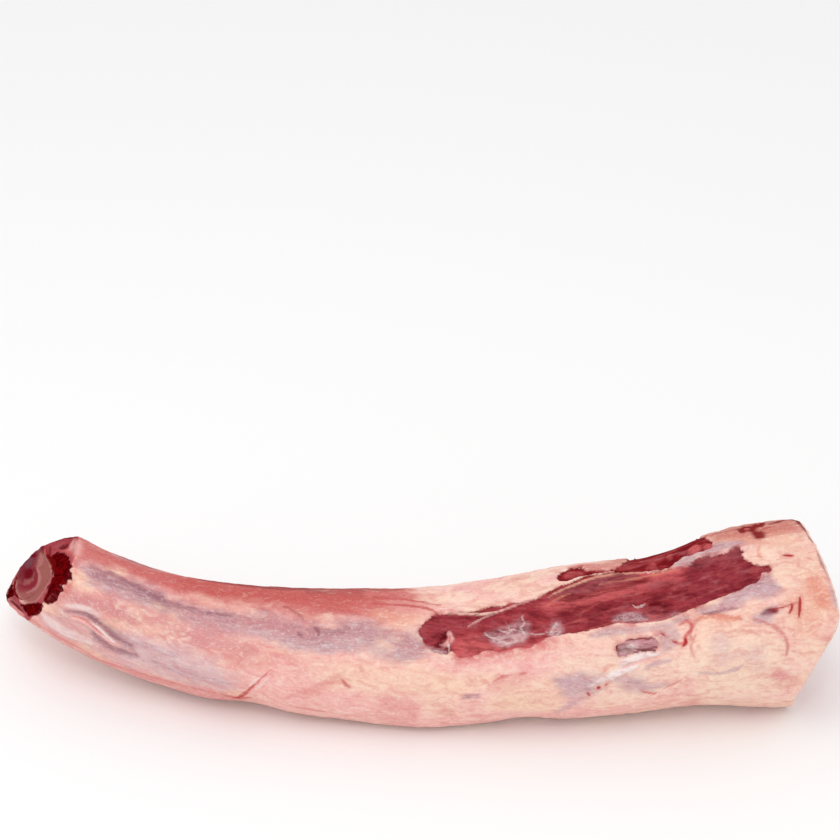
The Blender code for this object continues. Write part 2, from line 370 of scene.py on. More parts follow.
def readAll(items, field):  # x, y and z of every point or normal of a mesh
    flat = np.zeros(len(items) * 3)
    items.foreach_get(field, flat)
    return flat.reshape(-1, 3)


def store(piece, name, values):
    values = np.asarray(values, np.float32)
    kind = "FLOAT" if values.ndim == 1 else {3: "FLOAT_VECTOR", 4: "FLOAT_COLOR"}[values.shape[1]]
    layer = piece.data.attributes.new(name, kind, "POINT")
    field = {"FLOAT": "value", "FLOAT_VECTOR": "vector", "FLOAT_COLOR": "color"}[kind]
    layer.data.foreach_set(field, values.ravel())


def newMaterial(name):
    material = bpy.data.materials.new(name)
    material.use_nodes = True
    material.node_tree.nodes.clear()
    return material, material.node_tree


# Lean meat, laid bare where fat and silver skin were trimmed off. Outlines are photo pixels.
lean = {
    "mainWindow": [
        (419, 632), (424, 622), (432, 616), (447, 613), (470, 611), (494, 606), (518, 602), (538, 597),
        (549, 591), (571, 581), (591, 574), (609, 572), (632, 571), (650, 572), (666, 570), (680, 566),
        (691, 564), (695, 559), (704, 557), (718, 555), (731, 549), (739, 547), (745, 551), (742, 555),
        (753, 563), (768, 565), (771, 571), (762, 573), (759, 580), (747, 586), (732, 593), (714, 600),
        (694, 608), (679, 614), (667, 619), (654, 622), (635, 623), (620, 623), (601, 627), (583, 632),
        (563, 635), (549, 637), (538, 643), (529, 648), (519, 647), (503, 651), (487, 650), (474, 655),
        (462, 658), (452, 651), (447, 656), (435, 653), (427, 648), (422, 640)],
    "stripLeft": [
        (557, 579), (560, 573), (568, 569), (581, 567), (587, 570), (600, 570), (614, 569), (600, 572),
        (586, 574), (577, 577), (567, 581)],
    "stripRight": [
        (614, 571), (624, 562), (634, 554), (648, 546), (660, 538), (672, 530), (684, 526), (694, 530),
        (704, 537), (712, 541), (712, 547), (705, 550), (696, 552), (690, 555), (684, 556), (676, 562),
        (668, 567), (649, 571), (631, 571)],
    "smallWindow": [
        (619, 658), (617, 652), (617, 645), (625, 641), (634, 639), (643, 638), (652, 636), (658, 641),
        (658, 646), (655, 651), (645, 652), (634, 654), (626, 657)],
}

# The far side of the same muscles, past the edge that the photograph shows: station and angle
farLean = [
    (34, 152), (42, 145), (56, 143), (68, 137), (84, 135), (101, 129), (122, 130), (138, 138), (149, 150),
    (144, 158), (130, 163), (114, 158), (97, 164), (79, 167), (62, 163), (44, 160)]

# Paint and relief of the outside, in the order in which it is laid on. A patch is filled, a
# stroke follows its points. Each is: paint, soft edge or half width in mm, strength, height in
# mm, and points in photo pixels.
patches = {
    "ridgeSkin": ("salmon", 6.0, 0.85, 0.0, [
        (76, 532), (119, 544), (161, 560), (217, 571), (300, 577), (350, 579), (400, 584), (424, 602),
        (405, 618), (375, 618), (330, 612), (270, 606), (203, 600), (160, 586), (120, 570), (88, 562),
        (72, 554)]),
    "ridgeFlush": ("redMembrane", 8.0, 0.52, 0.0, [
        (175, 570), (240, 578), (300, 580), (360, 582), (352, 608), (310, 622), (280, 610), (240, 602),
        (200, 596)]),
    "ridgeBrown": ("brownMembrane", 2.5, 0.75, 0.0, [
        (300, 580), (335, 580), (366, 584), (362, 597), (336, 595), (306, 593)]),
    "ridgeFade": ("salmon", 8.0, 0.45, 0.0, [
        (330, 582), (380, 588), (424, 600), (430, 612), (396, 618), (350, 612)]),
    "ridgePeach": ("peachFat", 5.0, 0.6, 0.0, [
        (372, 610), (400, 612), (426, 612), (420, 622), (400, 628), (380, 624)]),
    "ridgePale": ("pinkFat", 6.0, 0.4, 0.0, [
        (384, 600), (430, 600), (468, 606), (446, 612), (420, 614), (396, 612)]),
    "bandDark": ("silverSkin", 5.5, 0.9, 0.0, [
        (80, 566), (96, 566), (130, 579), (160, 594), (190, 606), (225, 611), (261, 615), (296, 622),
        (328, 627), (345, 620), (366, 621), (384, 630), (405, 634), (421, 632), (430, 650), (408, 656),
        (380, 645), (346, 640), (313, 646), (283, 638), (250, 631), (215, 627), (178, 616), (145, 602),
        (110, 588), (84, 578)]),
    "bandPale": ("paleSilver", 4.5, 0.95, 0.0, [
        (84, 576), (112, 586), (145, 599), (176, 614), (217, 626), (261, 631), (290, 640), (313, 646),
        (346, 640), (372, 641), (396, 648), (418, 655), (400, 660), (366, 652), (337, 650), (304, 652),
        (272, 642), (239, 634), (200, 628), (160, 612), (118, 598), (86, 586)]),
    "flankPale": ("pinkFat", 4.0, 0.55, 0.0, [
        (75, 585), (110, 598), (160, 616), (210, 634), (250, 642), (240, 652), (190, 640), (150, 632),
        (110, 620), (80, 606), (62, 598)]),
    "flankPeach": ("orangePink", 5.0, 0.4, 0.0, [
        (96, 606), (125, 610), (152, 618), (146, 630), (120, 626), (100, 618)]),
    "flankFlush": ("salmon", 5.0, 0.35, 0.0, [
        (60, 578), (90, 590), (120, 604), (108, 610), (84, 600), (62, 592)]),
    "bellyFlush": ("rosyFat", 6.0, 0.6, 0.0, [
        (150, 624), (200, 638), (250, 646), (300, 662), (276, 682), (235, 672), (190, 652), (150, 640)]),
    "bellyPale": ("paleLilac", 7.0, 0.8, 0.0, [
        (120, 628), (170, 640), (215, 656), (240, 684), (190, 684), (130, 664)]),
    "bellySilver": ("paleSilver", 7.0, 0.45, 0.0, [
        (42, 612), (62, 605), (95, 618), (130, 642), (180, 655), (215, 668), (240, 686), (205, 690),
        (160, 676), (110, 658), (70, 640), (48, 626)]),
    "bellyLilac": ("lilacSkin", 5.0, 0.35, 0.0, [
        (122, 634), (150, 640), (176, 650), (186, 662), (216, 672), (232, 684), (200, 676), (166, 662),
        (138, 652)]),
    "bottomEdge": ("rosyFat", 2.4, 0.7, 0.0, [
        (6, 602), (24, 609), (45, 627), (78, 646), (101, 659), (145, 673), (188, 685), (238, 696),
        (240, 706), (160, 690), (90, 662), (40, 636), (10, 612)]),
    "middlePink": ("pinkFat", 8.0, 0.75, 0.0, [
        (250, 664), (300, 668), (350, 690), (420, 700), (440, 722), (380, 724), (300, 714), (246, 698)]),
    "middleFlush": ("rosyFat", 7.0, 0.4, 0.0, [(376, 700), (404, 694), (424, 706), (410, 724), (380, 722)]),
    "middleButter": ("butterFat", 7.0, 0.7, 0.0, [
        (335, 664), (380, 668), (440, 672), (470, 690), (430, 692), (360, 688)]),
    "bleeding": ("leanRed", 5.0, 0.75, 0.0, [
        (452, 652), (480, 652), (510, 648), (548, 640), (552, 648), (516, 658), (480, 662), (458, 660)]),
    "underWindow": ("pinkFat", 4.0, 0.6, 0.0, [
        (430, 658), (470, 662), (530, 656), (600, 642), (612, 650), (560, 664), (490, 672), (440, 668)]),
    "sidePink": ("pinkFat", 5.0, 0.8, 0.0, [
        (500, 662), (560, 652), (612, 656), (604, 672), (560, 674), (510, 676)]),
    "sideFlush": ("rosyFat", 4.0, 0.45, 0.0, [(488, 682), (508, 674), (530, 676), (520, 688), (500, 692)]),
    "sideButter": ("butterFat", 6.0, 0.7, 0.0, [
        (500, 690), (550, 684), (560, 704), (540, 714), (500, 712)]),
    "bottomPink": ("pinkFat", 4.0, 0.7, 0.0, [
        (440, 722), (480, 712), (560, 712), (620, 706), (640, 712), (560, 724), (480, 730)]),
    "ringPink": ("pinkFat", 5.0, 0.55, 0.0, [
        (644, 662), (690, 656), (700, 690), (670, 706), (630, 704), (650, 690)]),
    "endButter": ("butterFat", 7.0, 0.65, 0.0, [
        (690, 640), (720, 622), (770, 630), (782, 660), (740, 690), (700, 680)]),
    "sidePale": ("paleFat", 7.0, 0.75, 0.0, [
        (560, 656), (612, 650), (640, 660), (690, 650), (700, 672), (640, 700), (590, 696), (556, 674)]),
    "endLight": ("paleFat", 7.0, 0.6, 0.0, [(700, 640), (770, 634), (790, 680), (760, 700), (700, 700)]),
    "endPeachLow": ("peachFat", 7.0, 0.6, 0.0, [
        (786, 590), (822, 590), (834, 612), (812, 640), (792, 630)]),
    "endRosy": ("orangePink", 7.0, 0.4, 0.0, [
        (764, 536), (800, 540), (824, 566), (832, 600), (812, 596), (786, 566)]),
    "endPale": ("paleFat", 6.0, 0.35, 0.0, [
        (756, 544), (800, 540), (818, 570), (800, 592), (774, 580), (752, 556)]),
    "ringLilac": ("lilacSkin", 5.0, 0.4, 0.0, [(712, 636), (728, 634), (732, 656), (716, 660), (708, 648)]),
    "ringLilacRight": ("lilacSkin", 5.0, 0.3, 0.0, [(744, 652), (764, 652), (762, 664), (748, 664)]),
    "topFlush": ("topBrown", 6.0, 0.95, 0.0, [
        (698, 532), (716, 522), (775, 512), (797, 510), (806, 526), (796, 531), (782, 537), (766, 535),
        (748, 541), (730, 539), (712, 543)]),
    "bandBrown": ("topBrown", 6.0, 0.8, 0.0, [
        (583, 566), (605, 559), (627, 555), (642, 553), (636, 563), (615, 567), (596, 570)]),
    "topPeach": ("peachFat", 3.0, 0.45, 0.0, [
        (708, 543), (735, 538), (790, 532), (800, 541), (770, 543), (742, 543), (720, 546)]),
    "topSpot": ("stripRed", 0.9, 0.95, -0.4, [
        (737, 530), (742, 526), (750, 525), (757, 522), (765, 521), (764, 526), (758, 527), (756, 530),
        (748, 531), (742, 533)]),
    "topSpotPale": ("salmon", 0.8, 0.8, 0.3, [(744, 528), (748, 527), (750, 529), (746, 530)]),
    "topSpotLow": ("stripRed", 1.2, 0.95, -0.3, [
        (750, 530), (757, 530), (764, 531), (765, 536), (759, 539), (753, 536)]),
    "endPeach": ("orangePink", 5.0, 0.65, 0.0, [
        (806, 574), (824, 582), (830, 602), (818, 612), (808, 598)]),
    "stripSilver": ("paleSilver", 1.6, 0.95, 0.0, [
        (674, 565), (685, 555), (698, 552), (714, 544), (740, 542), (740, 546), (724, 550), (711, 555),
        (698, 557), (691, 564), (680, 567)]),
    "windowSilver": ("paleSilver", 3.5, 1.0, 0.0, [
        (694, 612), (712, 603), (732, 594), (752, 584), (764, 576), (776, 578), (780, 591), (762, 597),
        (745, 601), (729, 608), (712, 614)]),
    "windowLilac": ("lilacSkin", 3.0, 0.75, 0.0, [
        (712, 608), (740, 596), (766, 584), (776, 588), (748, 600), (722, 610)]),
    "tendonSilver": ("paleSilver", 4.0, 1.0, 0.0, [
        (554, 678), (578, 675), (605, 679), (594, 686), (571, 691), (560, 686)]),
    "tendonLilac": ("lilacSkin", 2.0, 0.7, 0.0, [
        (558, 682), (574, 678), (596, 682), (580, 688), (564, 687)]),
    "tailSilver": ("paleSilver", 3.5, 0.9, 0.0, [
        (610, 679), (632, 676), (656, 683), (668, 684), (652, 691), (632, 688)]),
    "lowerSilver": ("lilacSkin", 3.5, 0.6, 0.0, [
        (568, 704), (573, 695), (589, 692), (584, 699), (570, 708), (556, 712)]),
    "flankRosy": ("duskyPink", 9.0, 0.65, 0.0, [
        (70, 590), (130, 604), (200, 626), (250, 642), (246, 660), (190, 648), (120, 626), (70, 606)]),
    "flankDusk": ("duskyPink", 8.0, 0.5, 0.0, [
        (84, 594), (112, 600), (146, 612), (150, 626), (120, 624), (92, 612)]),
    "hollowHalo": ("lilacSkin", 2.4, 0.6, -0.2, [
        (754, 616), (764, 609), (778, 606), (780, 612), (768, 619), (758, 620)]),
    "hollow": ("deepPurple", 1.4, 0.95, -0.7, [
        (759, 615), (765, 610), (777, 608), (777, 612), (768, 616), (761, 618)]),
    "hollowRed": ("stripRed", 0.9, 0.7, 0.0, [(768, 611), (773, 609), (777, 609), (775, 613), (769, 614)]),
    "windowRim": ("paleSilver", 1.5, 0.8, 0.0, [
        (588, 636), (612, 628), (640, 628), (668, 621), (684, 616), (690, 619), (664, 628), (630, 633),
        (604, 637)]),
    "veinSilver": ("paleSilver", 2.0, 0.7, 0.0, [
        (660, 632), (676, 626), (680, 640), (670, 650), (660, 648)]),
    "hollowLilac": ("lilacSkin", 2.0, 0.8, 0.0, [
        (754, 617), (764, 614), (774, 617), (770, 623), (760, 623)]),
    "rimLilac": ("lilacSkin", 2.0, 0.9, 0.0, [(828, 572), (839, 590), (839, 606), (834, 604), (830, 590)]),
}
strokes = {
    "ridgeGlow": ("redMembrane", 5.0, 0.4, 0.0, [
        (92, 550), (119, 560), (161, 577), (217, 588), (300, 596), (380, 598)]),
    "ridgeVeinOne": ("redMembrane", 0.9, 0.8, 0.0, [(372, 603), (400, 605), (427, 608), (437, 614)]),
    "ridgeVeinTwo": ("redMembrane", 0.8, 0.7, 0.0, [(372, 597), (404, 599), (440, 605)]),
    "ridgeVeinThree": ("brownMembrane", 0.8, 0.6, 0.0, [(282, 606), (296, 612), (304, 620)]),
    "bandEdge": ("purple", 1.4, 0.6, -0.4, [
        (92, 568), (113, 574), (131, 583), (151, 594), (174, 604), (203, 612), (232, 615), (262, 620)]),
    "bandGap": ("purple", 1.4, 0.5, -0.3, [(284, 626), (317, 630), (345, 633)]),
    "bandDeepOne": ("purple", 3.5, 0.35, -0.3, [(96, 575), (118, 582), (136, 591)]),
    "bandDeepTwo": ("purple", 3.5, 0.35, -0.3, [(136, 591), (156, 600), (174, 610)]),
    "bandBlush": ("duskyPink", 5.0, 0.5, 0.0, [(236, 616), (262, 621), (290, 624), (318, 630)]),
    "bandSpot": ("deepPurple", 0.9, 0.5, -0.3, [(315, 627), (318, 631), (319, 635)]),
    "bandSpotTwo": ("purple", 0.9, 0.7, -0.3, [(298, 633), (302, 637)]),
    # painted highlights: these two white streaks along the narrow end stand for glints and a reflection on
    # its wet skin
    "tipHighlight": ("whiteTissueAndPaintedGlint", 1.5, 0.6, 0.3, [(66, 605), (78, 607), (90, 611), (99, 617)]),
    "tipHighlightLow": ("whiteTissueAndPaintedGlint", 3.0, 0.55, 0.4, [(44, 616), (56, 626), (70, 634), (90, 642)]),
    # painted shade: dark lilac along the crease above the raised fold stands for the shade in it, over the
    # silver skin's own lilac
    "crease": ("purple", 1.4, 0.7, -0.8, [
        (66, 611), (80, 613), (92, 618), (101, 627), (110, 633), (120, 640), (132, 646)]),
    # painted shade: the same dark lilac below the raised fold
    "creaseLowShade": ("purple", 3.0, 0.7, -1.0, [(92, 634), (101, 641), (112, 647), (124, 651), (136, 656)]),
    "creaseShade": ("purple", 4.0, 0.45, -0.5, [(88, 616), (104, 628), (120, 640), (134, 648)]),
    "creaseFold": ("pinkFat", 1.7, 0.8, 0.7, [
        (72, 618), (82, 620), (92, 625), (101, 633), (110, 641), (120, 646), (132, 652)]),
    "creaseVein": ("salmon", 0.6, 0.7, 0.1, [(72, 616), (84, 619), (94, 627), (103, 635)]),
    "creaseGlint": ("whiteTissueAndPaintedGlint", 0.6, 0.75, 0.2, [(90, 622), (100, 629), (108, 637), (118, 645)]),
    "bellyStreak": ("lilacSkin", 1.6, 0.8, -0.3, [(130, 640), (160, 650), (181, 659)]),
    "bellyStreakTwo": ("lilacSkin", 1.8, 0.85, -0.3, [(145, 660), (174, 670), (200, 678), (228, 684)]),
    "bottomLine": ("salmon", 1.3, 0.4, -0.2, [
        (22, 611), (41, 627), (78, 648), (101, 661), (145, 675), (188, 687), (239, 698)]),
    "foldSide": ("pinkFat", 2.2, 0.7, 0.3, [(244, 697), (254, 690), (263, 682), (274, 672)]),
    # painted highlights: white dabs beside the fold line stand for glints on the wet skin
    "foldHighlight": ("whiteTissueAndPaintedGlint", 0.6, 0.55, 0.2, [(249, 687), (254, 682), (258, 678)]),
    "foldHighlightTwo": ("whiteTissueAndPaintedGlint", 0.6, 0.5, 0.2, [(256, 689), (262, 684), (267, 678)]),
    "foldLine": ("veinPink", 0.5, 0.75, -0.2, [(240, 697), (248, 691), (256, 684), (263, 677), (272, 669)]),
    "foldFoot": ("redMembrane", 1.6, 0.7, 0.0, [(225, 696), (238, 699), (251, 698)]),
    "foldFootLine": ("redMembrane", 0.7, 0.7, -0.2, [(236, 699), (246, 692), (254, 685)]),
    "streakOne": ("salmon", 2.2, 0.3, -0.3, [(287, 698), (305, 692), (320, 687), (332, 680), (343, 672)]),
    "streakTwo": ("redMembrane", 0.8, 0.75, -0.4, [(341, 679), (345, 684), (350, 688)]),
    "streakThree": ("salmon", 1.0, 0.6, -0.2, [(290, 706), (310, 710), (324, 712)]),
    "streakFour": ("salmon", 0.8, 0.6, -0.2, [(492, 683), (500, 678), (513, 675), (530, 673)]),
    "lilacSpot": ("silverSkin", 1.2, 0.85, -0.2, [(462, 697), (470, 696), (479, 696)]),
    # white tendons under the silver skin, their brightness partly a painted highlight along them
    "tendonAndGlintOne": ("whiteTissueAndPaintedGlint", 2.3, 1.0, 0.7, [(620, 663), (630, 660), (642, 656), (658, 654)]),
    "tendonAndGlintTwo": ("whiteTissueAndPaintedGlint", 1.8, 1.0, 0.7, [(607, 677), (616, 673), (626, 669), (638, 665)]),
    "tendonAndGlintTail": ("whiteTissueAndPaintedGlint", 1.3, 0.6, 0.3, [(590, 685), (600, 681), (611, 676)]),
    "tendonGap": ("pinkFat", 0.9, 0.7, -0.4, [(622, 668), (634, 663), (648, 659), (664, 656)]),
    "topSpotFive": ("redMembrane", 0.8, 0.9, -0.2, [(762, 530), (768, 527), (775, 526)]),
    "topSpotSix": ("redMembrane", 0.8, 0.8, -0.2, [(764, 533), (770, 532)]),
    "topSpotSeven": ("darkEdge", 1.4, 0.8, 0.0, [(771, 523), (781, 521)]),
    "stripLine": ("darkEdge", 1.0, 0.4, 0.0, [(706, 536), (722, 532), (738, 529)]),
    "tendonEdge": ("orangePink", 0.6, 0.4, -0.2, [(604, 671), (616, 664), (626, 660)]),
    "tendonShade": ("lilacSkin", 1.2, 0.8, -0.2, [(644, 668), (656, 663), (672, 660)]),
    "squiggle": ("veinPink", 0.9, 0.85, 0.15, [
        (680, 625), (687, 621), (692, 626), (690, 631), (686, 635), (685, 641), (683, 646)]),
    "squiggleTail": ("veinPink", 0.7, 0.7, 0.1, [(674, 641), (680, 644), (685, 643)]),
    "longCurve": ("veinPink", 0.8, 0.8, -0.15, [(641, 690), (647, 693), (655, 694), (661, 692)]),
    "longCurveThin": ("veinPink", 0.5, 0.6, -0.1, [(660, 692), (668, 687), (676, 683), (682, 680)]),
    "endGroove": ("salmon", 0.98, 0.55, -1.2, [
        (692, 640), (690, 630), (697, 621), (709, 616), (725, 616), (742, 619)]),
    "ringGroove": ("salmon", 0.98, 0.6, -1.1, [(754, 619), (771, 625), (782, 633), (788, 645), (787, 655)]),
    "ringLower": ("lilacSkin", 0.98, 0.65, -0.5, [(700, 673), (716, 674), (734, 670), (742, 666)]),
    "ringVein": ("salmon", 0.7, 0.5, -0.3, [(696, 660), (691, 648), (696, 634)]),
    "ringInner": ("salmon", 0.8, 0.4, -0.3, [(724, 634), (742, 630), (762, 636)]),
    "endPeachLine": ("orangePink", 1.5, 0.8, 0.0, [(696, 619), (712, 616), (730, 619), (742, 616)]),
    "windowCrack": ("purple", 0.8, 0.75, -0.4, [(703, 613), (714, 612), (726, 609), (738, 608)]),
    "windowShade": ("duskyPink", 2.0, 0.4, -0.2, [(716, 609), (728, 606), (742, 604)]),
    "pinkMark": ("salmon", 1.3, 0.3, -0.1, [(755, 674), (766, 676), (784, 680)]),
    "pinkSpot": ("rosyFat", 3.0, 0.8, 0.0, [(774, 673), (788, 678)]),
    "endVein": ("orangePink", 0.9, 0.6, -0.2, [(760, 545), (758, 552), (762, 558)]),
    "rimLine": ("darkEdge", 2.4, 0.9, 0.0, [
        (770, 524), (792, 518), (799, 521), (806, 529), (812, 538), (818, 550)]),
    "rimLineLow": ("purple", 2.0, 0.7, 0.0, [(818, 550), (825, 566), (834, 584)]),
}

# Blood on the fat: half width in mm, and points
bloodLines = {
    "endLong": (0.75, [(800, 597), (800, 606), (799, 617)]),
    "endShort": (0.6, [(792, 603), (792, 608), (789, 614)]),
    "endDash": (0.8, [(783, 555), (793, 556)]),
    "hollowTail": (0.35, [(776, 609), (787, 606), (798, 602)]),
    "squiggleFoot": (0.8, [(685, 638), (686, 643), (683, 646)]),
    "nearVein": (0.5, [(672, 641), (678, 643)]),
    "nearVeinTwo": (0.5, [(661, 633), (665, 636)]),
    "tendonDrop": (0.75, [(597, 688), (600, 687)]),
    "tendonDropTwo": (0.4, [(604, 685), (608, 684)]),
    "tendonDropThree": (0.6, [(587, 692), (590, 696)]),
    "foldVein": (0.4, [(232, 699), (240, 698), (248, 693)]),
}

# Dark blood on the back at the very edge that the camera sees, deepened as painted shade where that edge
# turns from the light and as a painted shadow of another piece: station and angle
backStrokes = {
    "ridgeBloodAndShade": ("darkEdge", 3.6, 0.6, 0.0, [(-126, 116), (-102, 117), (-84, 117), (-68, 119)]),
    "ridgeBloodAndShadeLeft": ("brownMembrane", 2.0, 0.7, 0.0, [(-174, 134), (-160, 130), (-148, 127)]),
    "ridgeBloodAndShadeRight": ("brownMembrane", 3.2, 0.7, 0.0, [(-72, 119), (-59, 120), (-37, 117), (-22, 116)]),
}

# Paint and relief of the lean
meatPatches = {
    "leftEnd": ("leanLeft", 4.0, 0.85, 0.0, [
        (418, 628), (450, 612), (480, 612), (478, 624), (456, 634), (440, 652), (424, 650)]),
    "lowerRed": ("leanRed", 3.0, 0.9, 0.0, [
        (452, 640), (480, 634), (486, 644), (520, 648), (560, 636), (540, 656), (500, 660), (460, 662)]),
    "upperRed": ("leanRed", 2.5, 0.75, 0.0, [
        (545, 602), (575, 590), (606, 584), (640, 580), (684, 568), (690, 576), (650, 588), (600, 600),
        (550, 612)]),
    "underLine": ("leanRed", 1.5, 0.9, 0.0, [
        (640, 573), (664, 570), (684, 564), (690, 568), (672, 573), (650, 576)]),
    "leaf": ("leanPurple", 1.6, 0.95, 0.3, [
        (549, 596), (571, 583), (605, 575), (634, 574), (638, 577), (624, 582), (604, 587), (578, 592)]),
    "leafBelow": ("leanDark", 1.5, 0.7, -0.4, [
        (552, 598), (580, 592), (606, 587), (634, 580), (650, 578), (636, 584), (606, 592), (572, 600)]),
    "rightEnd": ("leanRight", 4.0, 0.9, 0.0, [
        (690, 560), (742, 546), (774, 568), (750, 590), (700, 608), (684, 590)]),
    "rightUpper": ("leanPurple", 1.5, 0.9, 0.0, [
        (692, 566), (695, 558), (718, 554), (740, 546), (748, 552), (738, 558), (716, 561), (704, 566)]),
    "middleDark": ("leanDark", 3.0, 0.4, 0.0, [
        (560, 606), (620, 600), (690, 584), (680, 596), (620, 612), (566, 624)]),
    "lowerDark": ("leanLeft", 3.0, 0.5, 0.0, [
        (552, 618), (600, 612), (640, 608), (616, 620), (580, 630), (554, 634)]),
    "strip": ("stripRed", 2.0, 1.0, 0.0, [
        (612, 571), (620, 556), (670, 530), (708, 522), (716, 542), (690, 558), (660, 569), (630, 570)]),
    "stripRed": ("leanRed", 1.5, 0.3, 0.0, [
        (616, 566), (640, 560), (660, 553), (664, 558), (644, 564), (624, 568)]),
    "stripStart": ("stripRed", 2.0, 0.8, 0.0, [(554, 580), (560, 566), (590, 564), (590, 576), (570, 582)]),
    "stripDots": ("leanRed", 0.8, 0.6, 0.4, [(666, 556), (669, 553), (672, 554), (672, 558), (668, 559)]),
    "stripGlow": ("leanRed", 1.2, 0.6, 0.2, [(563, 575), (570, 570), (580, 570), (582, 574), (572, 577)]),
    "stripStreak": ("leanRed", 0.9, 0.5, 0.3, [(646, 566), (652, 561), (656, 562), (654, 567), (649, 568)]),
    "beadPatch": ("leanRed", 1.0, 0.9, 0.8, [
        (687, 550), (690, 546), (697, 543), (701, 545), (700, 549), (694, 552), (689, 553)]),
    "beadPatchTwo": ("leanRed", 1.0, 0.85, 0.7, [
        (703, 546), (707, 543), (712, 543), (711, 547), (706, 549)]),
    "web": ("paleSilver", 2.2, 0.5, 0.0, [
        (482, 634), (490, 629), (503, 624), (517, 619), (530, 622), (529, 632), (522, 641), (508, 644),
        (494, 641)]),
    "webBright": ("paleLilac", 1.8, 0.7, 0.2, [
        (491, 639), (500, 636), (510, 635), (524, 633), (525, 638), (515, 642), (503, 645)]),
    "webGap": ("leanLeft", 1.4, 0.6, -0.3, [(494, 632), (503, 628), (508, 630), (502, 634)]),
    "webGapTwo": ("leanPurple", 1.0, 0.7, -0.3, [(503, 639), (510, 637), (512, 640), (506, 641)]),
    "webGapThree": ("leanLeft", 1.2, 0.6, -0.3, [(512, 627), (519, 625), (520, 630), (514, 632)]),
    "lowFlush": ("salmon", 1.6, 0.5, 0.0, [(462, 646), (470, 643), (474, 649), (466, 652)]),
    "lowFlushTwo": ("salmon", 1.4, 0.5, 0.0, [(478, 646), (488, 646), (492, 649), (482, 651)]),
    "tendonTips": ("paleSilver", 2.2, 0.8, 0.2, [
        (549, 634), (551, 626), (556, 621), (561, 625), (564, 632), (557, 637)]),
    "lowerSilver": ("lilacSkin", 3.2, 0.75, 0.0, [
        (614, 618), (626, 612), (646, 616), (666, 618), (678, 612), (682, 617), (660, 624), (622, 626)]),
    "swirl": ("leanPurple", 2.0, 0.7, 0.0, [
        (645, 607), (656, 606), (668, 610), (666, 618), (652, 620), (644, 614)]),
    "silverPatch": ("leanPurple", 1.8, 0.8, 0.2, [
        (646, 584), (658, 580), (674, 578), (676, 581), (660, 586), (650, 587)]),
    "smallMauve": ("mauve", 1.5, 1.0, 0.0, [
        (614, 660), (616, 642), (640, 635), (660, 639), (656, 650), (630, 658)]),
    # pale lilac membrane on the left of the small window, paler still as a painted highlight
    "smallSilverHighlight": ("paleLilac", 1.6, 0.75, 0.0, [
        (621, 653), (622, 647), (630, 644), (638, 643), (638, 649), (630, 653), (624, 654)]),
    "flapSilver": ("paleSilver", 1.5, 0.85, 0.0, [
        (424, 646), (434, 648), (446, 650), (448, 658), (436, 657), (428, 652)]),
}
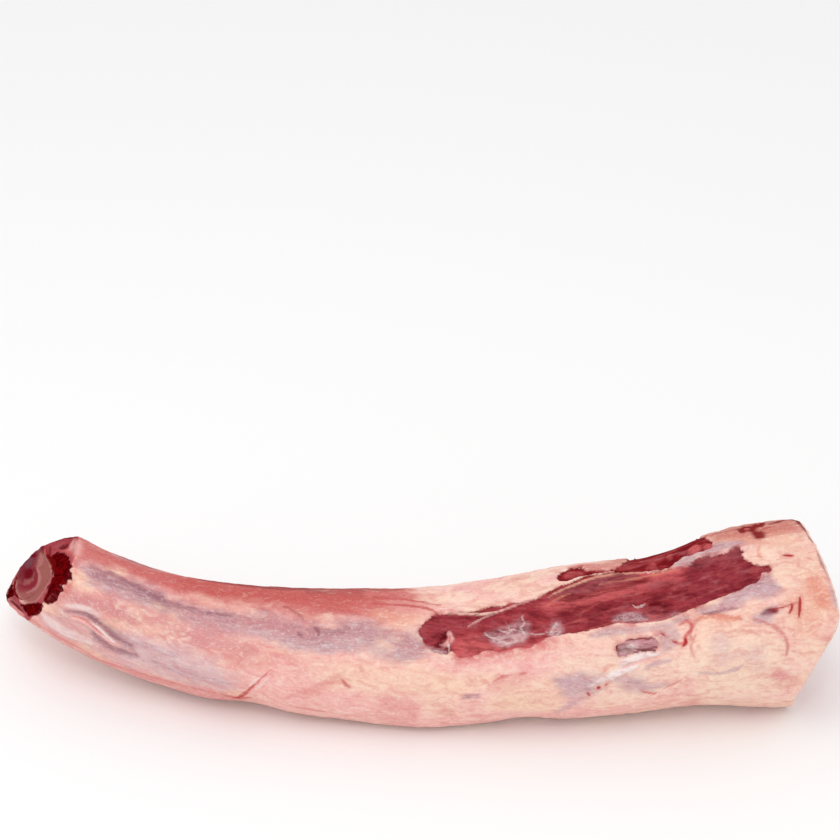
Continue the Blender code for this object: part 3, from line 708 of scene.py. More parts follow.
meatStrokes = {
    "creamLine": ("creamFat", 0.7, 0.9, 0.6, [(438, 612), (463, 613), (490, 613), (505, 608)]),
    "creamLineTwo": ("pinkFat", 0.6, 0.8, 0.6, [
        (468, 626), (480, 619), (498, 611), (517, 604), (538, 596)]),
    "leafEdge": ("peachFat", 0.7, 0.85, 0.4, [
        (549, 596), (560, 590), (575, 584), (590, 578), (606, 574), (630, 572), (654, 572)]),
    "fibreOne": ("salmon", 0.55, 0.7, 0.2, [(571, 611), (578, 602), (586, 596), (600, 591), (616, 587)]),
    "fibreTwo": ("salmon", 0.5, 0.55, 0.2, [(578, 614), (592, 606), (606, 599), (630, 594), (650, 590)]),
    "fibreThree": ("orangePink", 0.5, 0.55, 0.1, [(546, 606), (556, 598), (572, 592)]),
    "fibreFour": ("salmon", 0.55, 0.35, 0.2, [(620, 612), (650, 602), (690, 591), (712, 584)]),
    "fibreFive": ("salmon", 0.7, 0.5, 0.1, [(560, 626), (590, 616), (620, 606)]),
    "fibreSix": ("orangePink", 0.5, 0.55, 0.1, [(600, 583), (628, 579), (656, 573), (680, 568)]),
    "fibreSeven": ("salmon", 0.5, 0.3, 0.1, [(690, 600), (720, 588), (750, 578)]),
    "fibreEight": ("salmon", 0.5, 0.3, 0.1, [(686, 584), (712, 574), (740, 566)]),
    "whiteFleck": ("whiteTissueAndPaintedGlint", 0.4, 0.6, 0.3, [(633, 604), (637, 607), (642, 605), (645, 603)]),
    "darkPit": ("leanDark", 1.5, 0.9, -0.5, [(650, 605), (656, 602), (665, 605)]),
    "webLineOne": ("whiteTissueAndPaintedGlint", 0.4, 0.6, 0.2, [(484, 632), (490, 637), (497, 638)]),
    "webLineTwo": ("whiteTissueAndPaintedGlint", 0.4, 0.6, 0.2, [(500, 641), (510, 643), (519, 640), (524, 641)]),
    "webLineThree": ("whiteTissueAndPaintedGlint", 0.4, 0.6, 0.2, [(498, 629), (507, 632), (513, 629), (522, 631)]),
    "webLineFour": ("whiteTissueAndPaintedGlint", 0.4, 0.6, 0.2, [(521, 615), (524, 622), (521, 628), (525, 634)]),
    "webLineFive": ("paleSilver", 0.4, 0.6, 0.1, [(506, 622), (510, 628), (507, 635), (511, 640)]),
    "webLineSix": ("whiteTissueAndPaintedGlint", 0.4, 0.5, 0.1, [(530, 633), (540, 634), (548, 631)]),
    "tendonLine": ("whiteTissueAndPaintedGlint", 0.5, 0.7, 0.3, [(550, 634), (553, 628), (557, 622)]),
    "tendonLineTwo": ("whiteTissueAndPaintedGlint", 0.4, 0.6, 0.2, [(557, 635), (561, 629)]),
    "swirlLine": ("salmon", 0.6, 0.7, 0.2, [(646, 612), (652, 616), (660, 614), (662, 609)]),
    "lowerRim": ("salmon", 0.7, 0.7, 0.2, [(586, 630), (612, 622), (640, 622), (668, 617)]),
    "pit": ("leanDark", 1.3, 1.0, -1.3, [(447, 631), (443, 637), (437, 644)]),
    "pitFlap": ("pinkFat", 1.3, 0.9, 0.7, [(448, 632), (451, 638), (447, 643), (441, 646)]),
    "pitFlapRed": ("veinPink", 0.5, 0.7, 0.2, [(449, 634), (450, 640), (446, 645)]),
    "pitFlapEdge": ("whiteTissueAndPaintedGlint", 0.35, 0.7, 0.2, [(447, 640), (449, 648), (448, 655)]),
    "smallRimTop": ("stripRed", 0.6, 0.9, -0.3, [
        (617, 655), (617, 646), (626, 640), (640, 638), (654, 640)]),
    "smallRimLow": ("stripRed", 0.45, 0.7, -0.3, [(657, 647), (648, 650), (634, 653)]),
    "smallGlint": ("whiteTissueAndPaintedGlint", 0.7, 0.6, 0.1, [(626, 647), (632, 645), (634, 648)]),
}

# The narrow cut faces the camera, so it is measured across the picture and not round the tail.
# First its muscles, then paint and relief of its skin, the bone's disc and what is on that.
tipMuscles = {
    "right": [
        (54, 553), (60, 552), (66, 554), (69, 557), (70, 563), (73, 567), (69, 570), (72, 574), (72, 580),
        (68, 580), (67, 585), (63, 586), (63, 591), (59, 595), (56, 602), (48, 605), (43, 602), (45, 595),
        (48, 588), (51, 580), (54, 576), (53, 570), (51, 563), (50, 557)],
    "lower": [
        (20, 604), (26, 604), (35, 603), (41, 603), (43, 607), (40, 613), (35, 616), (28, 616), (25, 612),
        (22, 608)],
    "left": [(12, 584), (14, 592), (12, 597), (5, 599), (8, 590)],
}
tipPatches = {
    "flap": ("flap", 1.2, 0.95, 0.0, [
        (44, 548), (52, 542), (62, 538), (77, 537), (74, 543), (70, 548), (62, 551), (52, 553), (46, 556)]),
    "flapPink": ("cutPink", 1.2, 0.8, 0.0, [(54, 546), (62, 543), (64, 546), (58, 550)]),
    "lipPink": ("salmon", 1.5, 0.8, 0.0, [
        (52, 552), (60, 550), (70, 548), (74, 556), (70, 556), (62, 552)]),
    # the raised fold at the top of the narrow cut: pale fat, its paleness partly a painted highlight on its
    # crest
    "fold": ("pinkFat", 2.4, 0.6, 0.4, [(70, 546), (76, 541), (82, 545), (79, 554), (73, 553)]),
    "edge": ("salmon", 2.0, 0.6, 0.0, [
        (72, 560), (78, 566), (76, 580), (70, 590), (62, 600), (56, 604), (62, 592), (68, 582), (74, 574)]),
    "foot": ("rosyFat", 1.2, 0.8, 0.0, [(3, 599), (12, 604), (24, 613), (22, 618), (8, 608)]),
}
tipStrokes = {
    "flapEdge": ("darkEdge", 0.7, 0.9, 0.0, [(53, 541), (58, 540), (64, 538), (76, 537)]),
    "flapSpot": ("leanDark", 1.0, 0.8, -0.3, [(59, 548), (64, 547), (67, 544)]),
    "redLine": ("blood", 1.0, 0.8, -0.2, [(45, 548), (47, 554), (48, 562)]),
    "redLineDark": ("darkEdge", 0.8, 0.7, -0.2, [(50, 547), (50, 553), (49, 558)]),
    "footLine": ("leanDark", 0.6, 0.9, -0.3, [(10, 600), (15, 604), (20, 609), (24, 613)]),
    "muscleGap": ("cutPink", 0.7, 0.9, 0.3, [(52, 579), (57, 576), (62, 574)]),
}
disc = [
    (17, 577), (19, 567), (23, 558), (31, 551), (44, 546), (46, 556), (50, 564), (52, 571), (51, 578),
    (47, 587), (41, 597), (35, 602), (27, 602), (20, 598), (16, 590)]
discPatches = {
    "crescent": ("discPurple", 3.2, 0.95, 0.2, [
        (16, 578), (19, 566), (23, 558), (31, 551), (44, 546), (43, 552), (39, 558), (36, 566), (33, 573),
        (28, 580), (21, 582)]),
    "heart": ("discGrey", 1.4, 0.9, 0.1, [(25, 562), (28, 557), (33, 558), (32, 565), (27, 568)]),
    "core": ("discRed", 1.4, 0.95, -0.3, [(24, 572), (30, 568), (33, 570), (32, 577), (26, 579)]),
    "lowerShade": ("discMaroon", 2.2, 0.75, 0.0, [
        (18, 584), (28, 584), (35, 579), (38, 582), (34, 590), (26, 593), (18, 590)]),
    "tan": ("discTan", 2.0, 0.7, 0.1, [(40, 570), (48, 566), (50, 576), (44, 586), (38, 582)]),
}
discStrokes = {
    "arc": ("discMaroon", 1.2, 0.9, -0.2, [(33, 567), (36, 574), (34, 583), (27, 587), (20, 585)]),
    "arcPale": ("discPale", 0.8, 0.6, 0.1, [(37, 568), (40, 577), (36, 588), (27, 593)]),
    "topPale": ("discPale", 1.3, 0.5, 0.0, [(41, 553), (41, 560), (38, 567)]),
    "spot": ("discRed", 1.1, 0.9, 0.0, [(32, 555), (35, 556)]),
    "rim": ("discPale", 0.7, 0.8, 0.3, [
        (16, 580), (17, 592), (21, 598), (27, 602), (35, 602), (41, 597), (47, 587), (51, 579), (52, 572),
        (50, 564), (46, 556), (45, 549)]),
}

# what a user would change on the flesh, in mm unless said otherwise
fleshLook = {
    "fineWithin": 0.6,  # round thin marks and the edges of the lean the mesh is twice as fine
    "thinMark": 1.0,  # half width below which a stroke counts as thin
    "lip": 0.5,  # fat stands up round bare lean
    "drop": 0.9,  # and lean lies lower
    "swell": 0.35,  # slow waves of the fat
    "lobule": 0.30,  # height of its lobules
    "lobuleSize": 5.0,
    "fibre": 0.28,  # height of the fibres of lean and silver skin
    # the wide cut: middles of its muscles, in degrees round the bone and mm from its axis
    "muscleMiddles": ((12, 36), (48, 33), (86, 37), (118, 31), (152, 36), (196, 34), (228, 38),
                      (262, 31), (300, 36), (335, 31)),
    "seamWidth": 0.7,  # half the fat between two muscles
    "coverFat": 3.5,  # fat and skin round the wide cut
    "fatRing": 24.5,  # and round its bone, from the axis
    "boneRing": 28.0,  # the bone lies within this of the axis
    "boneGap": 0.6,  # up to here flesh is drawn on to the bone at the cuts
    "boneInset": 0.2,  # and this far into it, so that no gap shows
    "farShift": 14.0,  # how far along the tail the far side's marks are moved
    "tipEnds": -158.0,  # stations of the two ends' own marks
    "wideCutStarts": 130.0,
    "tipRing": 16.0,  # this near the axis the narrow end always takes its own marks
    "rest": (0.6, 5.0),  # relief starts at the first height over the table and is full at the second
    # noise: size, how many times longer along the tail, and offset
    "noise": {"wide": (11.0, 2.0, 0.0), "medium": (5.0, 1.8, 9.0), "fine": (2.4, 1.8, 17.0),
              "ragged": (1.2, 1.5, 41.0), "fibre": (1.4, 7.0, 5.0)},
    # the surface: share of light that goes in, wet coat, roughness of fat, and depth of the grain
    "lightGoesIn": 0.08,
    "wetness": 0.30,
    "roughness": (0.34, 0.50),
    "grain": 0.7,
}
# paints that count as silver skin and take its fibres
silvery = ("silverSkin", "paleSilver", "whiteTissueAndPaintedGlint", "lilacSkin", "purple")
# and how far these hide the material's patterns
plainPaints = {"leanDark": 1.0, "stripRed": 1.0, "deepPurple": 1.0, "darkEdge": 0.9, "purple": 0.6,
               "redMembrane": 0.6, "brownMembrane": 0.6, "topBrown": 0.2, "salmon": 0.6, "veinPink": 0.5,
               "whiteTissueAndPaintedGlint": 0.3, "mauve": 0.8, "paleLilac": 0.3}


def pickedMarks(marks, closed, pick):
    return [(paint, size, strength, lift, pick(pixels, closed))
            for paint, size, strength, lift, pixels in marks.values()]


def newSurface(paint, count):
    surface = {name: np.zeros(count) for name in ("height", "silver", "plain")}
    surface["tint"] = np.tile(linear[paint], (count, 1))
    return surface


def layOn(surface, marks, closed, place, wobble, where=1.0):  # edges fray with the noise in wobble
    low, high = (-0.75, 0.75) if closed else (-0.35, 0.45)  # where cover starts and is full, in sizes
    for paint, size, strength, lift, line in marks:
        fray = wobble["patch"] * size * 0.6 if closed else wobble["stroke"] * min(size, 1.6)
        cover = smooth(measured(place, line, closed, size) + fray, low * size, high * size)
        cover = cover * strength * where
        layPaint(surface["tint"], paint, cover)
        surface["height"] += (lift - surface["height"] * (lift != 0)) * cover
        surface["silver"] = surface["silver"] * (1 - cover) + cover * (paint in silvery)
        surface["plain"] += (plainPaints.get(paint, 0) - surface["plain"]) * cover


def asPicked(line, closed):
    return [tuple(p) for p in softened(line, closed)]


skinMarks = pickedMarks(patches, True, onSkin)
skinLines = pickedMarks(strokes, False, onSkin) + pickedMarks(backStrokes, False, asPicked)
meatMarks = pickedMarks(meatPatches, True, onSkin)
meatLines = pickedMarks(meatStrokes, False, onSkin)
windows = [onSkin(pixels, True) for pixels in lean.values()] + [asPicked(farLean, True)]
veins = [(half, onSkin(pixels)) for half, pixels in bloodLines.values()]
muscles = [inPicture(pixels, True) for pixels in tipMuscles.values()]


def farSide(marks):  # mirrored over the back, and moved along where they don't meet the near side
    near, top = 70, 96  # degrees: marks that start past the top have no twin
    out = []
    for paint, size, strength, lift, line in marks:
        if min(a for s, a in line) > top:
            continue
        move = 0 if max(a for s, a in line) > near else fleshLook["farShift"]
        line = [(s + move, a) for s, a in mirrored(line)]
        out.append((paint, size, strength, lift, line))
    return out


def survey(piece):  # where everything is, for each point of the mesh
    points = readAll(piece.data.vertices, "co")
    normals = readAll(piece.data.vertex_normals, "vector")
    place = unroll(points)
    place["ring"] = np.hypot(place["side"], place["up"])
    along = (normals * place["axis"]).sum(1)  # how much a point faces along the tail, as a cosine
    atEnd = place["station"] < fleshLook["tipEnds"]
    tipCut = smooth(-along, 0.30, 0.50) * atEnd
    wideCut = smooth(along, 0.30, 0.50) * (place["station"] > fleshLook["wideCutStarts"])
    seen = pictured(points, normals)
    cutFace = (along < -0.15) | (place["ring"] < fleshLook["tipRing"])
    atTip = np.maximum(smooth(seen["faces"], -0.15, 0.05), cutFace) * atEnd
    return points, normals, place, tipCut, wideCut, seen, atTip


def bareLean(place, seen, atTip, wideCut, wobble):  # mm inside the bare lean
    bare = np.full(len(atTip), nowhere)
    for line in windows:
        bare = np.maximum(bare, measured(place, line, True))
    for line in muscles:
        bare = np.maximum(bare, np.where(atTip > 0.5, measured(seen, line, True), nowhere))
    return np.where(wideCut > 0.5, wideMuscles(place)[0], bare) + wobble


def insideVeins(place):
    blood = np.full(len(place["station"]), nowhere)
    for half, line in veins:
        blood = np.maximum(blood, measured(place, line, False, half))
    return blood


def wideMuscles(place):  # mm inside a muscle of the wide cut, and which muscle it is
    still = np.zeros(len(place["up"]))
    flat = np.stack((place["side"], place["up"], still), 1)
    bend = 4.0  # mm that noise moves the seams and veins
    bent = flat + bend * np.stack((noiseAt(flat, 13.0), noiseAt(flat, 13.0, 1.0, 31.0), still), 1)
    gaps = []
    for turn, ring in fleshLook["muscleMiddles"]:
        middle = (ring * np.cos(np.radians(turn)), ring * np.sin(np.radians(turn)))
        gaps.append(np.hypot(bent[:, 0] - middle[0], bent[:, 1] - middle[1]))
    gaps = np.array(gaps)
    nearest = gaps.argmin(0)
    gaps.sort(0)
    seam = (gaps[1] - gaps[0]) / 2 - fleshLook["seamWidth"] * (1 + 1.6 * noiseAt(flat, 9.0, 1.0, 5.0))
    out = (1 - np.hypot(place["side"] / place["half"] / tail["widthToHeight"],
                        place["up"] / place["half"])) * place["half"] - fleshLook["coverFat"]
    # marbling: thin veins of fat in parts of the cut, and islands of it
    vein = 9 * np.abs(noiseAt(bent, 8.0, 1.0, 77.0)) - 0.25
    vein = np.where(noiseAt(flat, 10.0, 1.0, 55.0) > 0.05, vein, 1.5)
    island = 1.5 - 9 * smooth(noiseAt(flat, 6.0, 1.0, 21.0), 0.34, 0.6)
    inside = np.minimum(np.minimum(seam, out + 3 * noiseAt(flat, 8.0, 1.0, 3.0)),
                        place["ring"] - fleshLook["fatRing"] - 3 * noiseAt(flat, 7.0, 1.0, 13.0))
    return np.minimum(np.minimum(inside, island), np.maximum(vein, -0.5)), nearest


def refineFlesh():
    place, tipCut, wideCut, seen, atTip = survey(flesh)[2:]
    fine = -np.abs(bareLean(place, seen, atTip, wideCut, 0.0))  # mm off the edge of the lean
    for _, size, _, _, line in skinLines + meatLines:
        if size < fleshLook["thinMark"]:
            fine = np.maximum(fine, measured(place, line, False, size))
    fine = np.maximum(fine, insideVeins(place))
    fine = np.where((atTip > 0.5) & (tipCut > 0.2), 0, fine)
    near = fine > -fleshLook["fineWithin"]
    corners = np.zeros(len(flesh.data.loops), int)
    flesh.data.loops.foreach_get("vertex_index", corners)
    starts = np.zeros(len(flesh.data.polygons), int)
    flesh.data.polygons.foreach_get("loop_start", starts)
    chosen = np.add.reduceat(near[corners], starts) > 1
    bpy.ops.object.mode_set(mode="EDIT")
    bpy.ops.mesh.select_mode(type="FACE")
    bpy.ops.mesh.select_all(action="DESELECT")
    bpy.ops.object.mode_set(mode="OBJECT")
    flesh.data.polygons.foreach_set("select", chosen)
    bpy.ops.object.mode_set(mode="EDIT")
    bpy.ops.mesh.subdivide(number_cuts=1)
    bpy.ops.object.mode_set(mode="OBJECT")


def dressFlesh():
    points, normals, place, tipCut, wideCut, seen, atTip = survey(flesh)
    count = len(points)

    # straightened coordinates in mm, for streaks along the tail
    steps = np.linspace(-0.24, 0.24, 200)  # metres, past both ends
    lengths = np.cumsum(np.sqrt(1 + spineAt(steps)[1]**2)) * (steps[1] - steps[0]) * 1000
    arc = np.interp(place["station"] / 1000, steps, lengths)
    flow = np.stack((arc, place["side"], place["up"]), 1)
    wide, medium, fine, ragged, fibre = (
        noiseAt(flow, *fleshLook["noise"][name]) for name in ("wide", "medium", "fine", "ragged", "fibre"))
    wobble = {"patch": 0.9 * wide + 0.9 * medium + 0.6 * fine, "stroke": 0.55 * fine + 0.25 * ragged}

    # fat: cream at the wide end, rosier towards the narrow one
    fat = newSurface("creamFat", count)
    for paint, cover in (
        ("rosyFat", 0.62 * smooth(place["station"], 10, -120)),
        ("pinkFat", 0.8 * smooth(wide + 0.4 * medium, -0.1, 0.45)),
        ("butterFat", 0.6 * smooth(wide - 0.4 * medium, 0.0, -0.4)),
        ("rosyFat", 0.5 * smooth(medium - 0.5 * wide, 0.12, 0.5)),
    ):
        layPaint(fat["tint"], paint, cover)
    turned = turnBetween(place["angle"], tail["topEdge"]) + tail["topEdge"]
    fade = 6  # degrees to each side of the top edge, in which the far side's marks come in
    far = smooth(turned, tail["topEdge"] - fade, tail["topEdge"] + fade)
    for marks, closed in ((skinMarks, True), (skinLines, False)):
        layOn(fat, marks, closed, place, wobble)
        layOn(fat, farSide(marks), closed, place, wobble, far)
    cutSkin = np.maximum(tipCut, wideCut)
    # the wide cut's fat is pinker round the bone
    cutPaint = blended("cutFat", "creamFat", smooth(place["ring"] + 3 * medium, 24, 31))
    cutPaint = np.where((wideCut > tipCut)[:, None], cutPaint, linear["cutPink"])
    fat["tint"] += (cutPaint - fat["tint"]) * cutSkin[:, None]
    fat["silver"] *= 1 - cutSkin
    onDisc = smooth(measured(seen, inPicture(disc, True), True), -0.6, 0.6) * atTip
    layPaint(fat["tint"], "discTan", onDisc)
    for marks, closed, where in ((tipPatches, True, atTip), (tipStrokes, False, atTip),
                                 (discPatches, True, onDisc), (discStrokes, False, onDisc)):
        layOn(fat, pickedMarks(marks, closed, inPicture), closed, seen, wobble, where)

    # lean meat
    edgeNoise = medium * 0.5 * (1 - atTip) + fine * 0.7 + ragged * 0.4
    bare = bareLean(place, seen, atTip, wideCut, edgeNoise)
    meat = newSurface("lean", count)
    layOn(meat, meatMarks, True, place, wobble)
    layOn(meat, meatLines, False, place, wobble)
    tipRed = blended("tipMeatDeep", "tipMeat", smooth(fibre + medium * 0.5, -0.3, 0.4))
    inTip = (place["station"] < fleshLook["tipEnds"]) & (atTip > 0)
    meat["tint"] += (tipRed - meat["tint"]) * inTip[:, None]
    cutRed = np.array([linear[name] for name in ("cutLean", "cutLeanDark", "cutLeanPale")])
    meat["tint"] += (cutRed[wideMuscles(place)[1] % 3] - meat["tint"]) * wideCut[:, None]
    inMeat = smooth(bare, -0.4, 0.6)

    # blood stains the fat beside the veins and the lean
    veinReach, leanReach = 1.0, 2.2  # mm
    blood = insideVeins(place) + ragged * 0.12
    layPaint(fat["tint"], "veinPink", 0.45 * np.exp(-(np.maximum(-blood, 0) / veinReach)**2))
    stain = 0.5 * np.exp(-(np.maximum(-bare, 0) / leanReach)**2) * smooth(medium + fine, -0.2, 0.5)
    layPaint(fat["tint"], "redMembrane", stain * (1 - np.maximum(wideCut * 0.5, atTip)))
    silver = fat["silver"] * (1 - inMeat) + meat["silver"] * inMeat
    plain = np.maximum(np.clip(fat["plain"], 0, 1) * (1 - inMeat), smooth(atTip, 0.0, 0.5) * (tipCut > 0.1))

    # relief, with a lip of fat round each window of lean
    stirred = flow + 2.5 * np.stack((fine, medium, wide), 1)
    lumps = lumpsAt(stirred, fleshLook["lobuleSize"], 1.3) - 0.6  # about 0 on average
    calm = 1 - 0.7 * atTip  # less relief on the narrow cut
    lipAt, lipWidth = -1.3, 1.0  # mm from the edge of the lean
    lip = np.exp(-((bare - lipAt) / lipWidth)**2) * (1 - wideCut) * calm
    height = fat["height"] * (1 - inMeat) + meat["height"] * inMeat
    height += fleshLook["lip"] * lip - fleshLook["drop"] * inMeat * (1 - 1.3 * wideCut) * calm
    height += fleshLook["swell"] * wide * (1 - inMeat)
    height += fleshLook["lobule"] * (lumps + fine) * (1 - inMeat) * (1 - 0.6 * np.clip(silver, 0, 1))
    height += fleshLook["fibre"] * (fibre + 0.5 * fine) * np.maximum(inMeat, 0.5 * silver)
    settled = smooth(points[:, 2] * 1000, *fleshLook["rest"])
    moved = points + normals * (height * settled / 1000)[:, None]
    moved[:, 2] = np.maximum(moved[:, 2], points[:, 2].min())
    for i in np.flatnonzero((cutSkin > 0.01) & (place["ring"] < fleshLook["boneRing"])):
        touch, facing, _, gap = boneTree.find_nearest(Vector(points[i]))
        if gap < fleshLook["boneGap"] / 1000:
            moved[i] = np.array(touch) - fleshLook["boneInset"] / 1000 * np.array(facing)
    flesh.data.vertices.foreach_set("co", moved.ravel())
    flesh.data.update()

    for name, values in (
        ("skinTint", np.clip(fat["tint"], 0, 1)), ("meatTint", np.clip(meat["tint"], 0, 1)),
        ("bare", np.clip(bare, -6, 6)), ("blood", np.clip(blood, -3, 3)),
        ("silver", np.clip(silver, 0, 1)), ("plain", plain), ("flow", flow),
    ):
        store(flesh, name, values)


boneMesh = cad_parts["oxtail_bone"].data
boneTree = BVHTree.FromPolygons([v.co[:] for v in boneMesh.vertices],
                                [p.vertices[:] for p in boneMesh.polygons])
flesh = fineCopy("oxtail_flesh", "rawOxtailFlesh", 2)
refineFlesh()
print("flesh copied and refined:", len(flesh.data.polygons), "faces")
dressFlesh()
print("flesh shaped and painted")


def fleshMaterial():
    # Raw beef: trimmed fat, silver skin (the thin wet membrane over muscle) and bare lean. Cut with
    # a knife and left moist, so it has a soft sheen and light goes a little way in.
    material, tree = newMaterial("rawBeefFatSilverSkinAndLean")
    given = {}
    for name, socket in (("flow", "Vector"), ("skinTint", "Color"), ("meatTint", "Color"),
                         ("bare", "Fac"), ("blood", "Fac"), ("silver", "Fac"), ("plain", "Fac")):
        given[name] = addNode(tree, "ShaderNodeAttribute", attribute_name=name).outputs[socket]

    # Patterns on the flow attribute, which is in mm: size along, round and up, turn in radians,
    # how far the pattern is stirred, and its detail
    pattern = {}
    for name, size, turn, warp, detail in (
        ("cloud", (9.0, 4.0, 4.0), 0.2, 1.2, 4.0),  # blood and butter tints of fat
        ("fleck", (1.5, 1.0, 1.0), 0.0, 0.0, 3.0),  # grain of the wet surface, whose pale specks are painted glints
        ("streak", (6.0, 1.5, 1.5), 0.0, 0.6, 3.0),  # fibres of silver skin, in strands of 1.5 mm
        ("cross", (2.6, 1.0, 1.0), 0.6, 0.8, 1.5),  # and the finer ones across them
        ("fibre", (10.0, 0.8, 0.8), 0.2, 0.3, 3.0),  # muscle fibres of 0.8 mm
        ("bundle", (16.0, 2.6, 2.6), 0.2, 0.4, 3.0),  # and the bundles that they lie in
        ("marble", (12.0, 4.5, 4.5), 0.3, 0.3, 4.0),  # connective tissue and blood in the lean, and a painted sheen on it
    ):
        spot = addNode(tree, "ShaderNodeMapping", {"Rotation": (0, turn, 0), "Scale": size,
                                                   "Vector": given["flow"]}, vector_type="TEXTURE")
        pattern[name] = addNode(tree, "ShaderNodeTexNoise", {
            "Scale": 1.0, "Detail": detail, "Roughness": 0.58, "Distortion": warp, "Vector": spot})

    # Edges of stirred cells: scale and detail of the stirring, its reach and the cells' size in mm
    stirred = {}
    for name, scale, detail, reach, size in (
        ("capillary", 0.16, 3.0, (18.0, 12.0, 12.0), (17.0, 9.0, 9.0)),  # drawn 0.3 mm wide
        ("web", 0.5, 2.0, (2.5, 2.5, 2.5), (3.6, 1.7, 1.7)),  # the net of fibres in silver skin, drawn pale also as its painted glints
    ):
        stir = addNode(tree, "ShaderNodeTexNoise", {
            "Scale": scale, "Detail": detail, "Vector": given["flow"]}).outputs["Color"]
        stirred[name] = addNode(tree, "ShaderNodeVectorMath", {0: stir, 1: reach, 2: given["flow"]},
                                operation="MULTIPLY_ADD")
        cells = addNode(tree, "ShaderNodeMapping", {"Scale": size, "Vector": stirred[name]},
                        vector_type="TEXTURE")
        pattern[name] = addNode(tree, "ShaderNodeTexVoronoi", {"Scale": 1.0, "Vector": cells},
                                feature="DISTANCE_TO_EDGE")
    # lobules of fat, 3 mm
    pattern["lobule"] = addNode(tree, "ShaderNodeTexVoronoi", {
        "Scale": 0.34, "Smoothness": 0.7, "Vector": stirred["capillary"]}, feature="SMOOTH_F1")

    # Layers: pattern, where it starts and is full, its strength, its colour, and its mask
    given["lean"] = addNode(tree, "ShaderNodeMath", {0: 1.0, 1: given["plain"]}, operation="SUBTRACT")
    given["skin"] = addNode(tree, "ShaderNodeMath", {0: given["silver"], 1: given["lean"]},
                            operation="MULTIPLY")
    given["fat"] = addNode(tree, "ShaderNodeMath", {0: given["lean"], 1: given["silver"]},
                           operation="SUBTRACT", use_clamp=True)
    rosy = addNode(tree, "ShaderNodeMapRange", {0: pattern["cloud"], 1: 0.53, 2: 0.62})
    given["rosy"] = addNode(tree, "ShaderNodeMath", {0: rosy, 1: given["fat"]}, operation="MULTIPLY")
    shown = {"skin": given["skinTint"], "meat": given["meatTint"]}
    for layer, name, start, full, most, code, mask in (
        ("skin", "cloud", 0.50, 0.68, 0.45, "D98580", "fat"),
        ("skin", "cloud", 0.47, 0.32, 0.45, "FAE2D0", "fat"),
        ("skin", "lobule", 0.45, 0.75, 0.18, "DE9690", "fat"),
        # painted highlight: white specks stand for glints on the wet fat
        ("skin", "fleck", 0.56, 0.70, 0.32, "FFF2EA", "fat"),
        ("skin", "fleck", 0.44, 0.32, 0.15, "D07A76", "fat"),
        ("skin", "capillary", 0.035, 0.0, 0.17, "CE6A64", "rosy"),
        ("skin", "streak", 0.48, 0.32, 0.42, "98707E", "skin"),
        ("skin", "streak", 0.52, 0.68, 0.42, "E6D2D4", "skin"),
        ("skin", "cross", 0.55, 0.70, 0.15, "F4E6E6", "skin"),
        # pale net of fibres, partly painted glints of the wet silver skin
        ("skin", "web", 0.12, 0.0, 0.12, "F6E6E4", "skin"),
        ("skin", "cross", 0.45, 0.30, 0.20, "B07A84", "skin"),
        # painted highlight: white specks stand for glints on the wet silver skin
        ("skin", "fleck", 0.57, 0.70, 0.40, "FAF0F0", "skin"),
        ("skin", "cloud", 0.52, 0.68, 0.45, "CC8684", "skin"),
        ("meat", "bundle", 0.48, 0.34, 0.50, "6A161F", "lean"),
        ("meat", "bundle", 0.53, 0.68, 0.45, "BC5456", "lean"),
        ("meat", "fibre", 0.46, 0.32, 0.35, "5C101A", "lean"),
        ("meat", "fibre", 0.56, 0.70, 0.22, "B8605F", "lean"),
        # pale pink spots: connective tissue, and painted sheen of the wet lean
        ("meat", "marble", 0.53, 0.68, 0.42, "C07074", "lean"),
        ("meat", "marble", 0.46, 0.34, 0.50, "5A111C", "lean"),
        # the same pale net, partly painted glints, where silver skin lies on the lean
        ("meat", "web", 0.09, 0.0, 0.45, "F0DCDC", "skin"),
    ):
        cover = addNode(tree, "ShaderNodeMapRange", {0: pattern[name], 1: start, 2: full, 3: 0.0, 4: most})
        cover = addNode(tree, "ShaderNodeMath", {0: cover, 1: given[mask]}, operation="MULTIPLY")
        shown[layer] = addNode(tree, "ShaderNodeMix", {0: cover, 6: shown[layer], 7: linearColour(code)},
                               data_type="RGBA").outputs[2]

    # lean shows where bare is above 0 mm, with a fine grain at its edge, and blood in its own lines
    grain = addNode(tree, "ShaderNodeMapRange", {0: pattern["fleck"], 1: 0.3, 2: 0.7, 3: -0.35, 4: 0.35})
    edge = addNode(tree, "ShaderNodeMath", {0: given["bare"], 1: grain}, operation="ADD")
    given["inLean"] = addNode(tree, "ShaderNodeMapRange", {0: edge, 1: -0.3, 2: 0.35})
    colour = addNode(tree, "ShaderNodeMix", {0: given["inLean"], 6: shown["skin"], 7: shown["meat"]},
                     data_type="RGBA").outputs[2]
    vein = addNode(tree, "ShaderNodeMapRange", {0: given["blood"], 1: -0.25, 2: 0.3, 4: 0.9})
    colour = addNode(tree, "ShaderNodeMix", {0: vein, 6: colour, 7: linearColour(paints["blood"])},
                     data_type="RGBA").outputs[2]

